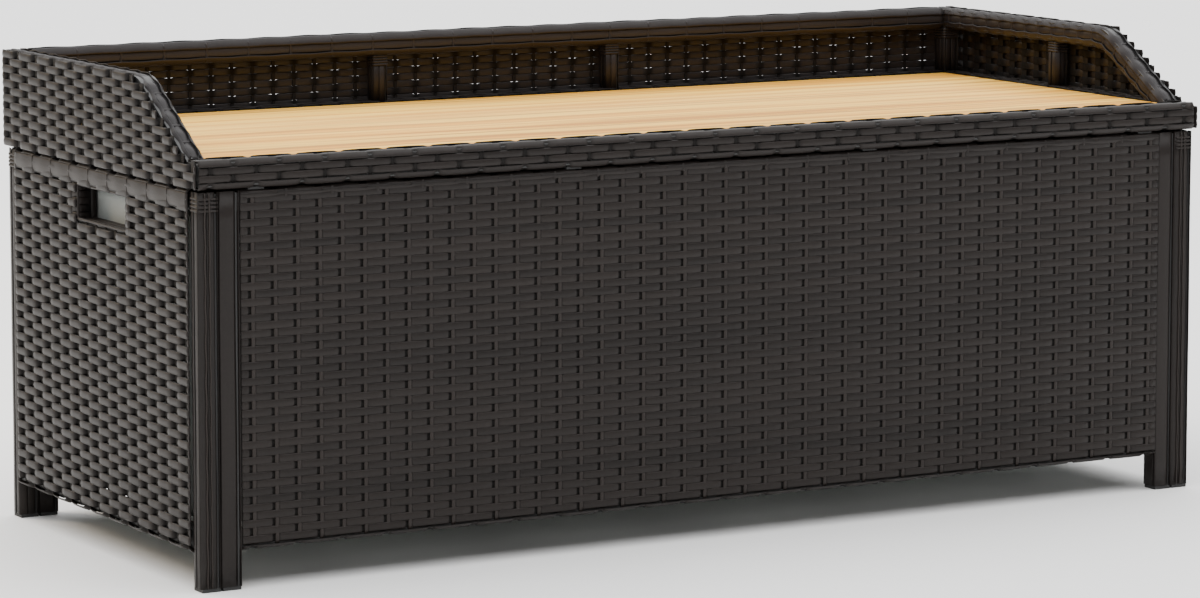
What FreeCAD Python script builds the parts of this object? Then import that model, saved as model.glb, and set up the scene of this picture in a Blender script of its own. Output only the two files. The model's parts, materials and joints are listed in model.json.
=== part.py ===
import FreeCAD, Part
import Sketcher
import os
import re

# Woven storage bench: a knock-down box of four framed panels, a fabric liner,
# and a hinged lid that carries the seat boards, the backrest and the two arms.
# Frame: X along the length, the front faces -Y, Z up, origin on the ground under the centre.

doc = FreeCAD.newDocument("StorageBench")
sheet = doc.addObject("Spreadsheet::Sheet", "Sizes")

sizes = {
    # overall
    "box_length": 1380, "box_depth": 560, "body_top": 455, "backrest_rise": 85,
    "seam_gap": 3, "overhang": 3, "leg_height": 45,
    # steel tubes and the woven skin
    "tube_size": 20, "tube_wall": 1.2, "skin": 2.5, "leg_gap": 0.5, "lip_height": 22.5,
    "panel_upright": 220, "cap_height": 4, "cap_depth": 12,
    # handle openings in the side panels
    "handle_width": 142, "handle_height": 39, "handle_offset": -8,
    # floor bars and liner
    "bar_width": 25, "bar_thickness": 4, "bar_end_gap": 170, "bar_inset": 3,
    "liner_clear": 1, "liner_wall": 1.5, "liner_drop": 27, "liner_lift": 0.4,
    "tab_width": 30, "tab_end_gap": 210, "tab_top_drop": 7, "tab_overlap": 23,
    "snap_radius": 4.5, "snap_height": 2, "snap_pin": 1.5,
    # lid frame, seat boards, backrest and arms
    "rim_height": 32, "rim_width": 30, "rail_tube": 22, "post_tube": 16,
    "crossbar_width": 25, "crossbar_shift": 6,
    "board_thickness": 14, "board_gap": 1, "board_sink": 2, "board_clear": 1,
    "board_back_gap": 4,
    "slope_run": 135, "knee_radius": 45,
    "post_left": -188, "post_right": 150, "arm_post": 5,
    # hinges
    "hinge_inset": 290, "leaf_length": 60, "leaf_width": 22, "leaf_thickness": 1.2,
    "barrel_radius": 3, "pin_radius": 1.5, "pin_clear": 0.05, "relief": 0.5, "screw_pitch": 40,
    # gas struts
    "strut_gap": 2.5, "plate_gap": 0.5, "low_pivot_inset": 48, "low_pivot_drop": 135,
    "high_pivot_gap": 15.5, "high_pivot_drop": 9, "eye_radius": 7, "eye_width": 9, "stud_radius": 3, "stud_clear": 0.05,
    "strut_radius": 7.5, "strut_length": 110, "strut_bore": 5.5, "rod_radius": 4,
    "rod_clear": 0.05, "gland_length": 10, "piston_length": 4, "stud_gap": 0.5, "plate": 3,
    # fasteners and small parts
    "bolt_radius": 3, "bolt_head": 5, "bolt_head_height": 4, "washer_radius": 7.5,
    "washer_height": 1.2, "nut_radius": 4.5, "nut_length": 9, "hole_clear": 0.2,
    "bolt_low": 110, "bolt_drop": 55,
    "screw_radius": 1.9, "screw_head": 3.8, "screw_head_height": 1.5, "seat_screw_length": 22,
    "floor_screw_length": 9, "leaf_screw_length": 8, "leaf_screw_head": 3.2,
    "bumper_size": 20, "bumper_inset": 75,
}

# places that follow from the sizes, each a formula in the sheet
places = {
    "box_height": "body_top + seam_gap + rim_height + backrest_rise",
    "handle_drop": "2*skin + tube_size",
    "board_start": "-box_depth/2 + rim_width + board_clear",
    "board_end": "box_depth/2 - overhang - rail_tube - 2*skin - board_back_gap",
    "board_width": "(board_end - board_start - 3*board_gap)/4",
    "slope_foot": "box_depth/2 - rim_width",
    "slope_knee": "box_depth/2 - rim_width - slope_run",
    "bar_pitch": "(box_length/2 - bar_end_gap)/2",
    "tab_pitch": "(box_length/2 - tab_end_gap)/3",
    "bumper_place": "(box_length/2 - bumper_inset)/3",
    "hinge_place": "box_length/2 - hinge_inset",
    "bolt_high": "body_top - bolt_drop",
    "strut_place": "box_length/2 - overhang - tube_size - 2*skin - liner_clear - liner_wall"
                   " - plate_gap - plate - strut_gap - strut_radius",
    "crossbar_pitch": "(strut_place - crossbar_shift)/2",
    "low_pivot_y": "box_depth/2 - low_pivot_inset",
    "low_pivot_z": "body_top - low_pivot_drop",
    "high_pivot_y": "board_end - board_width/2 + high_pivot_gap",
    "high_pivot_z": "body_top - high_pivot_drop",
}

rows = [(alias, str(number)) for alias, number in sizes.items()]
rows += [(alias, "=" + formula) for alias, formula in places.items()]
for row, (alias, content) in enumerate(rows, start=1):
    sheet.set("A%d" % row, alias)
    sheet.set("B%d" % row, content)
    sheet.setAlias("B%d" % row, alias)
doc.recompute()

aliases = sorted([alias for alias, content in rows], key=len, reverse=True)
aliasWord = re.compile(r"\b(%s)\b" % "|".join(aliases))
nodes = []


def bound(formula):
    """The formula with each size's name pointing at its cell."""
    return aliasWord.sub(r"Sizes.\1", str(formula))


def measure(formula):
    """The formula's present value in millimetres or degrees."""
    result = sheet.evalExpression(bound(formula))
    return float(getattr(result, "Value", result))


def less(formula):
    return "-(%s)" % formula


def mirrored(side, low, high):
    """The span from low to high on the right, or its mirror image on the left."""
    if side > 0:
        return (low, high)
    return (less(high), less(low))


def moveTo(piece, place):
    for letter, formula in zip("xyz", place):
        piece.setExpression("Placement.Base.%s" % letter, bound(formula))


def box(name, x, y, z):
    """A block between two formulas along each axis."""
    piece = doc.addObject("Part::Box", name)
    for size, (low, high) in zip(("Length", "Width", "Height"), (x, y, z)):
        piece.setExpression(size, bound("(%s) - (%s)" % (high, low)))
    moveTo(piece, (x[0], y[0], z[0]))
    return piece


turns = {
    "+X": FreeCAD.Rotation(FreeCAD.Vector(0, 1, 0), 90),
    "-X": FreeCAD.Rotation(FreeCAD.Vector(0, 1, 0), -90),
    "+Y": FreeCAD.Rotation(FreeCAD.Vector(1, 0, 0), -90),
    "-Y": FreeCAD.Rotation(FreeCAD.Vector(1, 0, 0), 90),
    "+Z": FreeCAD.Rotation(),
    "-Z": FreeCAD.Rotation(FreeCAD.Vector(1, 0, 0), 180),
}


def pin(name, start, way, radius, length):
    """A round bar from its start point along one axis direction."""
    piece = doc.addObject("Part::Cylinder", name)
    piece.setExpression("Radius", bound(radius))
    piece.setExpression("Height", bound(length))
    piece.Placement = FreeCAD.Placement(FreeCAD.Vector(), turns[way])
    moveTo(piece, start)
    return piece


def joined(name, pieces):
    if len(pieces) == 1:
        return pieces[0]
    piece = doc.addObject("Part::MultiFuse", name)
    piece.Shapes = pieces
    piece.Refine = True
    return piece


def minus(name, body, tools):
    piece = doc.addObject("Part::Cut", name)
    piece.Base = body
    piece.Tool = joined(name + "Tools", tools)
    piece.Refine = True
    return piece


def group(name, pieces):
    piece = doc.addObject("Part::Compound", name)
    piece.Links = pieces
    return piece


def node(label, piece):
    """Names a finished sub-part and lists it for export."""
    piece.Label = label
    nodes.append(piece)
    return piece


# ---------------------------------------------------------------- derived places
half_length = "box_length/2"
half_depth = "box_depth/2"
body_x = "(box_length/2 - overhang)"
body_y = "(box_depth/2 - overhang)"
lid_back = body_y
leg = "(tube_size + 2*skin)"
panel_end = "(box_length/2 - overhang - tube_size - 2*skin - leg_gap)"
lid_bottom = "(body_top + seam_gap)"
rim_top = "(body_top + seam_gap + rim_height)"
frame_bottom = "(body_top + seam_gap + skin)"
frame_top = "(body_top + seam_gap + rim_height - skin)"
board_top = "(body_top + seam_gap + rim_height - board_sink)"
board_bottom = "(body_top + seam_gap + rim_height - board_sink - board_thickness)"
rail = "(rail_tube + 2*skin)"
slope = "atan((box_height - body_top - seam_gap - rim_height)/(slope_foot - slope_knee))"
sides = (("left", -1), ("right", 1))


# ---------------------------------------------------------------- sketched outlines
def outline(body, role, points):
    """A closed sketch whose corner points are tied to the sheet by formulas."""
    sketch = body.newObject("Sketcher::SketchObject", body.Name + "Outline")
    plane = [f for f in body.Origin.OriginFeatures if f.Role == role][0]
    sketch.AttachmentSupport = [(plane, "")]
    sketch.MapMode = "FlatFace"
    corners = [FreeCAD.Vector(measure(u), measure(v), 0) for u, v in points]
    count = len(corners)
    for i in range(count):
        sketch.addGeometry(Part.LineSegment(corners[i], corners[(i + 1) % count]))
    for i in range(count):
        sketch.addConstraint(Sketcher.Constraint("Coincident", i, 2, (i + 1) % count, 1))
    for i, (u, v) in enumerate(points):
        for kind, formula, value in (("DistanceX", u, corners[i].x), ("DistanceY", v, corners[i].y)):
            index = sketch.addConstraint(Sketcher.Constraint(kind, -1, 1, i, 1, value))
            sketch.setExpression("Constraints[%d]" % index, bound(formula))
    return sketch


def padded(name, role, points, start, length):
    """A Body padded from an outline; start places it along the plane's normal axis."""
    body = doc.addObject("PartDesign::Body", name)
    sketch = outline(body, role, points)
    pad = body.newObject("PartDesign::Pad", name + "Pad")
    pad.Profile = sketch
    pad.setExpression("Length", bound(length))
    letter = {"YZ_Plane": "x", "XZ_Plane": "y", "XY_Plane": "z"}[role]
    body.setExpression("Placement.Base.%s" % letter, bound(start))
    return body


def roundedEdge(body, place, radius):
    """Rounds the padded edges that run along X through the given (y, z) places."""
    doc.recompute()
    spots = [(measure(y), measure(z)) for y, z in place]
    base = body.Tip
    found = []
    for i, edge in enumerate(base.Shape.Edges, start=1):
        ends = [v.Point for v in edge.Vertexes]
        if len(ends) == 2 and abs(ends[0].x - ends[1].x) > 1:
            if any(abs(ends[0].y - y) < 0.01 and abs(ends[0].z - z) < 0.01 for y, z in spots):
                if abs(ends[0].y - ends[1].y) < 0.01:
                    found.append("Edge%d" % i)
    fillet = body.newObject("PartDesign::Fillet", body.Name + "Round")
    fillet.Base = (base, found)
    fillet.setExpression("Radius", bound(radius))
    body.Tip = fillet
    return body


# ---------------------------------------------------------------- welded tube frames
def tubes(name, members, holes=()):
    """Square tubes welded into one frame. Each member has its spans, its axis and its two ends:
    joined to a crossing tube, open, or closed. Returns the hollow frame and its filled outside."""
    reach = {"joined": "tube_wall", "open": "0", "closed": "-tube_wall"}
    solids = []
    hollows = []
    for number, (spans, axis, ends) in enumerate(members):
        solids.append(box("%sTube%d" % (name, number), *spans))
        inner = []
        for letter, (low, high) in zip("xyz", spans):
            if letter == axis:
                first = "(%s) - (%s)" % (low, reach[ends[0]])
                last = "(%s) + (%s)" % (high, reach[ends[1]])
            else:
                first = "(%s) + tube_wall" % low
                last = "(%s) - tube_wall" % high
            inner.append((first, last))
        hollows.append(box("%sHollow%d" % (name, number), *inner))
    outside = joined(name + "Outside", solids)
    return minus(name, outside, hollows + list(holes)), outside


def legSpan(side, outer):
    """Where a leg's tube lies across, from its wrapped outer face inwards."""
    return mirrored(side, "%s - skin - tube_size" % outer, "%s - skin" % outer)


panel_bottom = ("leg_height + skin", "leg_height + skin + tube_size")
panel_top = ("body_top - skin - tube_size", "body_top - skin")
upright = ("leg_height + skin + tube_size", "body_top - skin - tube_size")
leg_z = ("cap_height", "body_top - skin")

# corner bolts run along X through the front or back panel's leg into the side panel's leg
bolt_y = "(box_depth/2 - overhang - skin - tube_size/2)"
bolt_seat = "(%s - 2*skin - tube_size)" % panel_end
bolt_places = []
for side in (-1, 1):
    for facing in (-1, 1):
        for height in ("bolt_low", "bolt_high"):
            bolt_places.append((side, "(%s)*(%d)" % (bolt_y, facing), height))


def boltHoles(name):
    """Clearance holes for all the corner bolts, with room for the nuts in the side legs."""
    holes = []
    for number, (side, y, z) in enumerate(bolt_places):
        way = "+X" if side > 0 else "-X"
        start = ("(%s)*(%d)" % (bolt_seat, side), y, z)
        holes.append(pin("%sBolt%d" % (name, number), start, way, "bolt_radius + hole_clear",
                         "2*tube_size + 3*skin + leg_gap"))
        nut = ("(%s - tube_size - 2*skin)*(%d)" % (body_x, side), y, z)
        holes.append(pin("%sNut%d" % (name, number), nut, way, "nut_radius + hole_clear/4",
                         "skin + tube_wall + 0.1"))
    return joined(name, holes)


bolt_holes = boltHoles("boltHoles")

# floor bars rest on the bottom rails and are screwed down at both ends
bar_bottom = "(leg_height + skin + tube_size)"
bar_end = "(%s - skin - bar_inset)" % body_y
bar_places = ["bar_pitch*(%d)" % i for i in (-2, -1, 0, 1, 2)]
floor_screw_places = [(x, "(%s - skin - tube_size/2)*(%d)" % (body_y, facing))
                      for x in bar_places for facing in (-1, 1)]
floor_screw_holes = joined("floorScrewHoles", [
    pin("floorScrewHole%d" % i, (x, y, bar_bottom + " - 4"), "+Z", "screw_radius + hole_clear/2",
        "bar_thickness + 4")
    for i, (x, y) in enumerate(floor_screw_places)])

# hinge screws go up into the lid's back rail and down into the back panel's top rail
leaf_middle = "(%s - leaf_width/2)" % body_y
leaf_screws = [("hinge_place*(%d) + screw_pitch/2*(%d)" % (side, end), leaf_middle)
               for side in (-1, 1) for end in (-1, 1)]
low_leaf_holes = joined("lowLeafHoles", [
    pin("lowLeafHole%d" % i, (x, y, "body_top"), "-Z", "screw_radius + hole_clear/2",
        "leaf_screw_length + 1")
    for i, (x, y) in enumerate(leaf_screws)])
high_leaf_holes = joined("highLeafHoles", [
    pin("highLeafHole%d" % i, (x, y, lid_bottom), "+Z", "screw_radius + hole_clear/2",
        "leaf_screw_length + 1")
    for i, (x, y) in enumerate(leaf_screws)])

# ---------------------------------------------------------------- body: panel frames
long_legs = []
outsides = {}
for face, facing in (("front", -1), ("back", 1)):
    across = mirrored(facing, "%s - skin - tube_size" % body_y, "%s - skin" % body_y)
    between = (less(panel_end + " - skin - tube_size"), panel_end + " - skin - tube_size")
    members = [
        (((between[0]), (between[1])), "x", panel_bottom),
        (((between[0]), (between[1])), "x", panel_top),
    ]
    parts = [((span, across, z), axis, ("joined", "joined")) for span, axis, z in members]
    for side in (-1, 1):
        parts.append(((legSpan(side, panel_end), across, leg_z), "z", ("open", "closed")))
        middle = "panel_upright*(%d)" % side
        span = (middle + " - tube_size/2", middle + " + tube_size/2")
        parts.append(((span, across, upright), "z", ("joined", "joined")))
    holes = [bolt_holes, floor_screw_holes]
    if facing > 0:
        holes.append(low_leaf_holes)
    frame, outsides[face] = tubes(face + "Frame", parts, holes)
    node(face + "_panel_frame", frame)

handle_low = "(body_top - handle_drop - handle_height)"
handle_high = "(body_top - handle_drop)"
handle_y = ("handle_offset - handle_width/2", "handle_offset + handle_width/2")
handle_side_y = [
    ("handle_offset - handle_width/2 - skin - tube_size", "handle_offset - handle_width/2 - skin"),
    ("handle_offset + handle_width/2 + skin", "handle_offset + handle_width/2 + skin + tube_size")]
handle_bar_z = ("%s - skin - tube_size" % handle_low, "%s - skin" % handle_low)
for name, side in sides:
    across = mirrored(side, "%s - skin - tube_size" % body_x, "%s - skin" % body_x)
    between = (less(body_y + " - skin - tube_size"), body_y + " - skin - tube_size")
    parts = [((across, between, z), "y", ("joined", "joined")) for z in (panel_bottom, panel_top)]
    for facing in (-1, 1):
        parts.append(((across, legSpan(facing, body_y), leg_z), "z", ("open", "closed")))
    for span in handle_side_y:
        parts.append(((across, span, upright), "z", ("joined", "joined")))
    handle_bar_y = (handle_side_y[0][1], handle_side_y[1][0])
    parts.append(((across, handle_bar_y, handle_bar_z), "y", ("joined", "joined")))
    frame, outsides[name] = tubes(name + "Frame", parts, [bolt_holes])
    node(name + "_panel_frame", frame)


# ---------------------------------------------------------------- body: woven panels
def channel(facing, outer):
    """The weave's section: a flat outer face turned in over both rails, with a short inner lip."""
    def at(depth):
        return "(%s - (%s))*(%d)" % (outer, depth, facing)
    full = leg
    return [
        (at("0"), "leg_height"), (at("0"), "body_top"),
        (at(full), "body_top"), (at(full), "body_top - lip_height"),
        (at(full + " - skin"), "body_top - lip_height"), (at(full + " - skin"), "body_top - skin"),
        (at("skin"), "body_top - skin"), (at("skin"), "leg_height + skin"),
        (at(full + " - skin"), "leg_height + skin"),
        (at(full + " - skin"), "leg_height + lip_height"),
        (at(full), "leg_height + lip_height"), (at(full), "leg_height"),
    ]


weave_end = "(%s - %s)" % (panel_end, leg)
for face, facing in (("front", -1), ("back", 1)):
    weave = padded(face + "Weave", "YZ_Plane", channel(facing, body_y), less(weave_end),
                   "2*" + weave_end)
    if facing > 0:
        reliefs = [
            pin("backRelief%d" % side,
                ("hinge_place*(%d) - leaf_length/2 - relief" % side, body_y, "body_top + seam_gap/2"),
                "+X", "barrel_radius + relief", "leaf_length + 2*relief")
            for side in (-1, 1)]
        weave = minus("backWeaveCut", weave, reliefs + [low_leaf_holes])
    node(face + "_weave", weave)

for name, side in sides:
    # an XZ outline pads towards -Y, so the body starts at its back end
    weave = padded(name + "Weave", "XZ_Plane", channel(side, body_x), "%s - %s" % (body_y, leg),
                   "2*(%s - %s)" % (body_y, leg))
    across = mirrored(side, "%s - 2*%s" % (body_x, leg), "%s + 1" % body_x)
    ring_y = (handle_y[0] + " - skin", handle_y[1] + " + skin")
    ring_z = (handle_low + " - skin", handle_high + " + skin")
    hole = box(name + "HandleHole", across, ring_y, ring_z)
    node(name + "_weave", minus(name + "WeaveCut", weave, [hole]))
    depth = mirrored(side, "%s - %s" % (body_x, leg), body_x)
    ring = box(name + "HandleRing", depth, ring_y, ring_z)
    through = box(name + "HandleThrough", across, handle_y, (handle_low, handle_high))
    node(name + "_handle_binding", minus(name + "HandleBinding", ring, [through]))


# ---------------------------------------------------------------- body: wrapped legs and feet
leg_spots = []
for side in (-1, 1):
    for facing in (-1, 1):
        depth = mirrored(facing, "%s - %s" % (body_y, leg), body_y)
        outer = mirrored(side, "%s - %s" % (body_x, leg), body_x)
        inner = mirrored(side, "%s - %s" % (panel_end, leg), panel_end)
        leg_spots.append((outer, depth, "left" if side < 0 else "right"))
        leg_spots.append((inner, depth, "front" if facing < 0 else "back"))

wraps = []
caps = []
for number, (x, y, panel) in enumerate(leg_spots):
    sleeve = box("legSleeve%d" % number, x, y, ("cap_height", "body_top"))
    wraps.append(minus("legWrap%d" % number, sleeve, [outsides[panel], bolt_holes]))
    foot = box("capFoot%d" % number, (x[0] + " + skin/2", x[1] + " - skin/2"),
               (y[0] + " + skin/2", y[1] + " - skin/2"), ("0", "cap_height"))
    inset = "skin + tube_wall + hole_clear/2"
    plug = box("capPlug%d" % number, (x[0] + " + " + inset, x[1] + " - (%s)" % inset),
               (y[0] + " + " + inset, y[1] + " - (%s)" % inset), ("0", "cap_depth"))
    caps.append(joined("footCap%d" % number, [foot, plug]))
node("leg_wraps", group("legWraps", wraps))
node("foot_caps", group("footCaps", caps))

# ---------------------------------------------------------------- body: corner fasteners
bolts = []
washers = []
nuts = []
for number, (side, y, z) in enumerate(bolt_places):
    way = "+X" if side > 0 else "-X"
    seat = "(%s - washer_height)" % bolt_seat
    head = pin("boltHead%d" % number, ("(%s - bolt_head_height)*(%d)" % (seat, side), y, z), way,
               "bolt_head", "bolt_head_height")
    shank = pin("boltShank%d" % number, ("(%s)*(%d)" % (seat, side), y, z), way, "bolt_radius",
                "washer_height + tube_size + 3*skin + leg_gap + nut_length")
    bolts.append(joined("cornerBolt%d" % number, [head, shank]))
    disc = pin("washerDisc%d" % number, ("(%s)*(%d)" % (seat, side), y, z), way, "washer_radius",
               "washer_height")
    hole = pin("washerHole%d" % number, ("(%s - 1)*(%d)" % (seat, side), y, z), way,
               "bolt_radius + hole_clear/2", "washer_height + 2")
    washers.append(minus("cornerWasher%d" % number, disc, [hole]))
    start = ("(%s - tube_size - skin)*(%d)" % (body_x, side), y, z)
    barrel = pin("nutBarrel%d" % number, start, way, "nut_radius", "nut_length - skin")
    bore = pin("nutBore%d" % number, ("(%s - tube_size - 2*skin)*(%d)" % (body_x, side), y, z), way,
               "bolt_radius + hole_clear/8", "nut_length + 2*skin")
    nuts.append(minus("rivetNut%d" % number, barrel, [bore]))
node("corner_bolts", group("cornerBolts", bolts))
node("corner_washers", group("cornerWashers", washers))
node("rivet_nuts", group("rivetNuts", nuts))

# ---------------------------------------------------------------- body: floor bars and liner
bars = []
for number, x in enumerate(bar_places):
    bar = box("bar%d" % number, (x + " - bar_width/2", x + " + bar_width/2"),
              (less(bar_end), bar_end), (bar_bottom, bar_bottom + " + bar_thickness"))
    bars.append(minus("floorBar%d" % number, bar, [floor_screw_holes]))
node("floor_bars", group("floorBars", bars))

screws = []
for number, (x, y) in enumerate(floor_screw_places):
    top = bar_bottom + " + bar_thickness"
    head = pin("floorHead%d" % number, (x, y, top), "+Z", "screw_head", "screw_head_height")
    shank = pin("floorShank%d" % number, (x, y, top), "-Z", "screw_radius", "bar_thickness + 3")
    screws.append(joined("floorScrew%d" % number, [head, shank]))
node("floor_screws", group("floorScrews", screws))

liner_x = "(%s - %s - liner_clear)" % (body_x, leg)
liner_y = "(%s - %s - liner_clear)" % (body_y, leg)
liner_bottom = "(%s + bar_thickness + liner_lift)" % bar_bottom
liner_top = "(body_top - liner_drop)"
bag = box("linerOutside", (less(liner_x), liner_x), (less(liner_y), liner_y),
          (liner_bottom, liner_top))
hollow = box("linerHollow", (less(liner_x + " - liner_wall"), liner_x + " - liner_wall"),
             (less(liner_y + " - liner_wall"), liner_y + " - liner_wall"),
             (liner_bottom + " + liner_wall", liner_top + " + 1"))
node("liner_bag", minus("linerBag", bag, [hollow]))

tabs = []
snaps = []
tab_z = (liner_top + " - tab_overlap", "body_top - tab_top_drop")
snap_z = "(body_top - tab_top_drop - tab_width/4)"
for facing in (-1, 1):
    for i in (-3, -1, 1, 3):
        x = "tab_pitch*(%d)" % i
        thin = mirrored(facing, liner_y, liner_y + " + liner_clear")
        strip = box("tab%d_%d" % (facing + 1, i + 3), (x + " - tab_width/2", x + " + tab_width/2"),
                    thin, tab_z)
        way = "+Y" if facing > 0 else "-Y"
        head = pin("snapHead%d_%d" % (facing + 1, i + 3),
                   (x, "(%s - snap_height)*(%d)" % (liner_y, facing), snap_z), way, "snap_radius",
                   "snap_height")
        shank = pin("snapShank%d_%d" % (facing + 1, i + 3), (x, "(%s)*(%d)" % (liner_y, facing), snap_z),
                    way, "snap_pin", "liner_clear")
        tabs.append(minus("linerTab%d_%d" % (facing + 1, i + 3), strip, [shank]))
        snaps.append(joined("linerSnap%d_%d" % (facing + 1, i + 3), [head, shank]))
node("liner_tabs", group("linerTabs", tabs))
node("liner_snaps", group("linerSnaps", snaps))

# ---------------------------------------------------------------- lid: base frame
# seat screws come up through the crossbars into every board
crossbars = ["crossbar_pitch*(%d)" % i for i in (-2, -1, 0, 1, 2)]
seat_screws = []
for x in crossbars:
    for i in range(4):
        seat_screws.append((x, "board_start + board_width*%s + board_gap*%d" % (i + 0.5, i)))
seat_screw_holes = joined("seatScrewHoles", [
    pin("seatScrewHole%d" % i, (x, y, frame_bottom), "+Z", "screw_radius + hole_clear/2",
        "seat_screw_length + 0.5")
    for i, (x, y) in enumerate(seat_screws)])

front_rail_y = ("-box_depth/2 + skin", "-box_depth/2 + rim_width - skin")
back_rail_y = ("%s - skin - rail_tube" % lid_back, "%s - skin" % lid_back)
frame_z = (frame_bottom, frame_top)
full_x = (less(half_length + " - skin"), half_length + " - skin")
parts = [
    ((full_x, front_rail_y, frame_z), "x", ("closed", "closed")),
    ((full_x, back_rail_y, frame_z), "x", ("closed", "closed")),
]
between_y = (front_rail_y[1], back_rail_y[0])
for name, side in sides:
    x = mirrored(side, half_length + " - skin - rail_tube", half_length + " - skin")
    parts.append(((x, between_y, frame_z), "y", ("joined", "joined")))
for middle in crossbars:
    x = (middle + " - crossbar_width/2", middle + " + crossbar_width/2")
    parts.append(((x, between_y, (frame_bottom, board_bottom)), "y", ("joined", "joined")))
drain = pin("lidDrain", ("0", "-box_depth/2 + rim_width/2", frame_bottom + " - 1"), "+Z", "2",
            "tube_wall + 2")
lid_frame, lid_outside = tubes("lidFrame", parts, [seat_screw_holes, high_leaf_holes, drain])
node("lid_frame", lid_frame)

# ---------------------------------------------------------------- lid: backrest and arm frames
rail_z = ("box_height - skin - rail_tube", "box_height - skin")
back_rail_x = (less(half_length + " - skin - rail_tube"), half_length + " - skin - rail_tube")
post_y = ("%s - skin - post_tube" % lid_back, "%s - skin" % lid_back)
post_z = (frame_top, "box_height - skin - rail_tube")
parts = [((back_rail_x, back_rail_y, rail_z), "x", ("open", "open"))]
for middle in ("post_left", "post_right"):
    x = (middle + " - post_tube/2", middle + " + post_tube/2")
    parts.append(((x, post_y, post_z), "z", ("open", "joined")))
back_frame, back_outside = tubes("backrestFrame", parts)
node("backrest_frame", back_frame)


def armPoint(depth, height):
    """A point on the arm's sloping edge, set in by depth, at the given height: its y."""
    return "-slope_foot + (%s)/sin(%s) + ((%s) - (%s))/tan(%s)" % (depth, slope, height, rim_top, slope)


def armBand(outer, inner, foot):
    """The side view of the arm's rail between two depths from its outer edge."""
    def knee(depth):
        return "-slope_knee + (%s)*tan(%s/2)" % (depth, slope)
    back = "%s - skin" % lid_back
    return [
        (armPoint(outer, foot), foot), (knee(outer), "box_height - (%s)" % outer),
        (back, "box_height - (%s)" % outer), (back, "box_height - (%s)" % inner),
        (knee(inner), "box_height - (%s)" % inner), (armPoint(inner, foot), foot),
    ]


def armRail(name, side, outer, inner, low, high, foot):
    """A bent rail: the band padded between two distances from the middle, its knee rounded."""
    start = mirrored(side, low, high)
    band = armBand(outer, inner, foot)
    body = padded(name, "YZ_Plane", band, start[0], "(%s) - (%s)" % (high, low))
    roundedEdge(body, [band[1]], "knee_radius - (%s)" % outer)
    return roundedEdge(body, [band[4]], "knee_radius - (%s)" % inner)


arm_outsides = {}
for name, side in sides:
    low = half_length + " - skin - rail_tube"
    high = half_length + " - skin"
    solid = armRail(name + "ArmTube", side, "skin", "skin + rail_tube", low, high, frame_top)
    hollow = armRail(name + "ArmHollow", side, "skin + tube_wall", "skin + rail_tube - tube_wall",
                     low + " + tube_wall", high + " - tube_wall", frame_top)
    corner = box(name + "CornerPost", mirrored(side, low, high), back_rail_y, post_z)
    corner_hollow = box(name + "CornerHollow",
                        mirrored(side, low + " + tube_wall", high + " - tube_wall"),
                        (back_rail_y[0] + " + tube_wall", back_rail_y[1] + " - tube_wall"),
                        (post_z[0], post_z[1] + " + tube_wall"))
    post_x = mirrored(side, half_length + " - skin - post_tube", half_length + " - skin")
    post_span = ("arm_post - post_tube/2", "arm_post + post_tube/2")
    post = box(name + "ArmPost", post_x, post_span, post_z)
    post_hollow = box(name + "ArmPostHollow", (post_x[0] + " + tube_wall", post_x[1] + " - tube_wall"),
                      (post_span[0] + " + tube_wall", post_span[1] + " - tube_wall"),
                      (post_z[0], post_z[1] + " + tube_wall"))
    arm_outsides[name] = joined(name + "ArmOutside", [solid, corner, post])
    frame = minus(name + "ArmFrame", arm_outsides[name], [hollow, corner_hollow, post_hollow])
    node(name + "_arm_frame", frame)

# ---------------------------------------------------------------- lid: woven skins
skin_x = (less(half_length + " - skin"), half_length + " - skin")
skin_y = ("%s - skin" % lid_back, lid_back)
reliefs = [
    pin("lidRelief%d" % side,
        ("hinge_place*(%d) - leaf_length/2 - relief" % side, body_y, "body_top + seam_gap/2"),
        "+X", "barrel_radius + relief", "leaf_length + 2*relief")
    for side in (-1, 1)]
back_skin = box("backrestSkin", skin_x, skin_y, (lid_bottom, "box_height"))
node("backrest_weave", minus("backrestWeave", back_skin, reliefs))

arm_skins = {}
for name, side in sides:
    points = [
        ("-box_depth/2", lid_bottom), ("-box_depth/2", rim_top), ("-slope_foot", rim_top),
        ("-slope_knee", "box_height"), (lid_back, "box_height"), (lid_back, lid_bottom),
    ]
    start = mirrored(side, half_length + " - skin", half_length)[0]
    arm_skin = padded(name + "ArmSkin", "YZ_Plane", points, start, "skin")
    arm_skins[name] = roundedEdge(arm_skin, [points[3]], "knee_radius")
    node(name + "_arm_weave", arm_skins[name])

# ---------------------------------------------------------------- lid: wrapped rails, posts and rim
inner_x = half_length + " - skin"
rim_z = (lid_bottom, rim_top)
front_rim = box("frontRim", (less(inner_x), inner_x), ("-box_depth/2", "-box_depth/2 + rim_width"), rim_z)
node("front_rim_wrap", minus("frontRimWrap", front_rim, [lid_outside, arm_outsides["left"],
                                                       arm_outsides["right"]]))
back_y = ("%s - %s" % (lid_back, rail), "%s - skin" % lid_back)
back_rim = box("backRim", (less(inner_x), inner_x), back_y, rim_z)
node("back_rim_wrap", minus("backRimWrap", back_rim, [
    lid_outside, back_outside, arm_outsides["left"], arm_outsides["right"], high_leaf_holes] + reliefs))
for name, side in sides:
    x = mirrored(side, "%s - %s" % (half_length, rail), half_length + " - skin")
    y = ("-box_depth/2 + rim_width", "%s - %s" % (lid_back, rail))
    rim = box(name + "Rim", x, y, rim_z)
    node(name + "_rim_wrap", minus(name + "RimWrap", rim, [lid_outside, arm_outsides[name]]))

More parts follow.
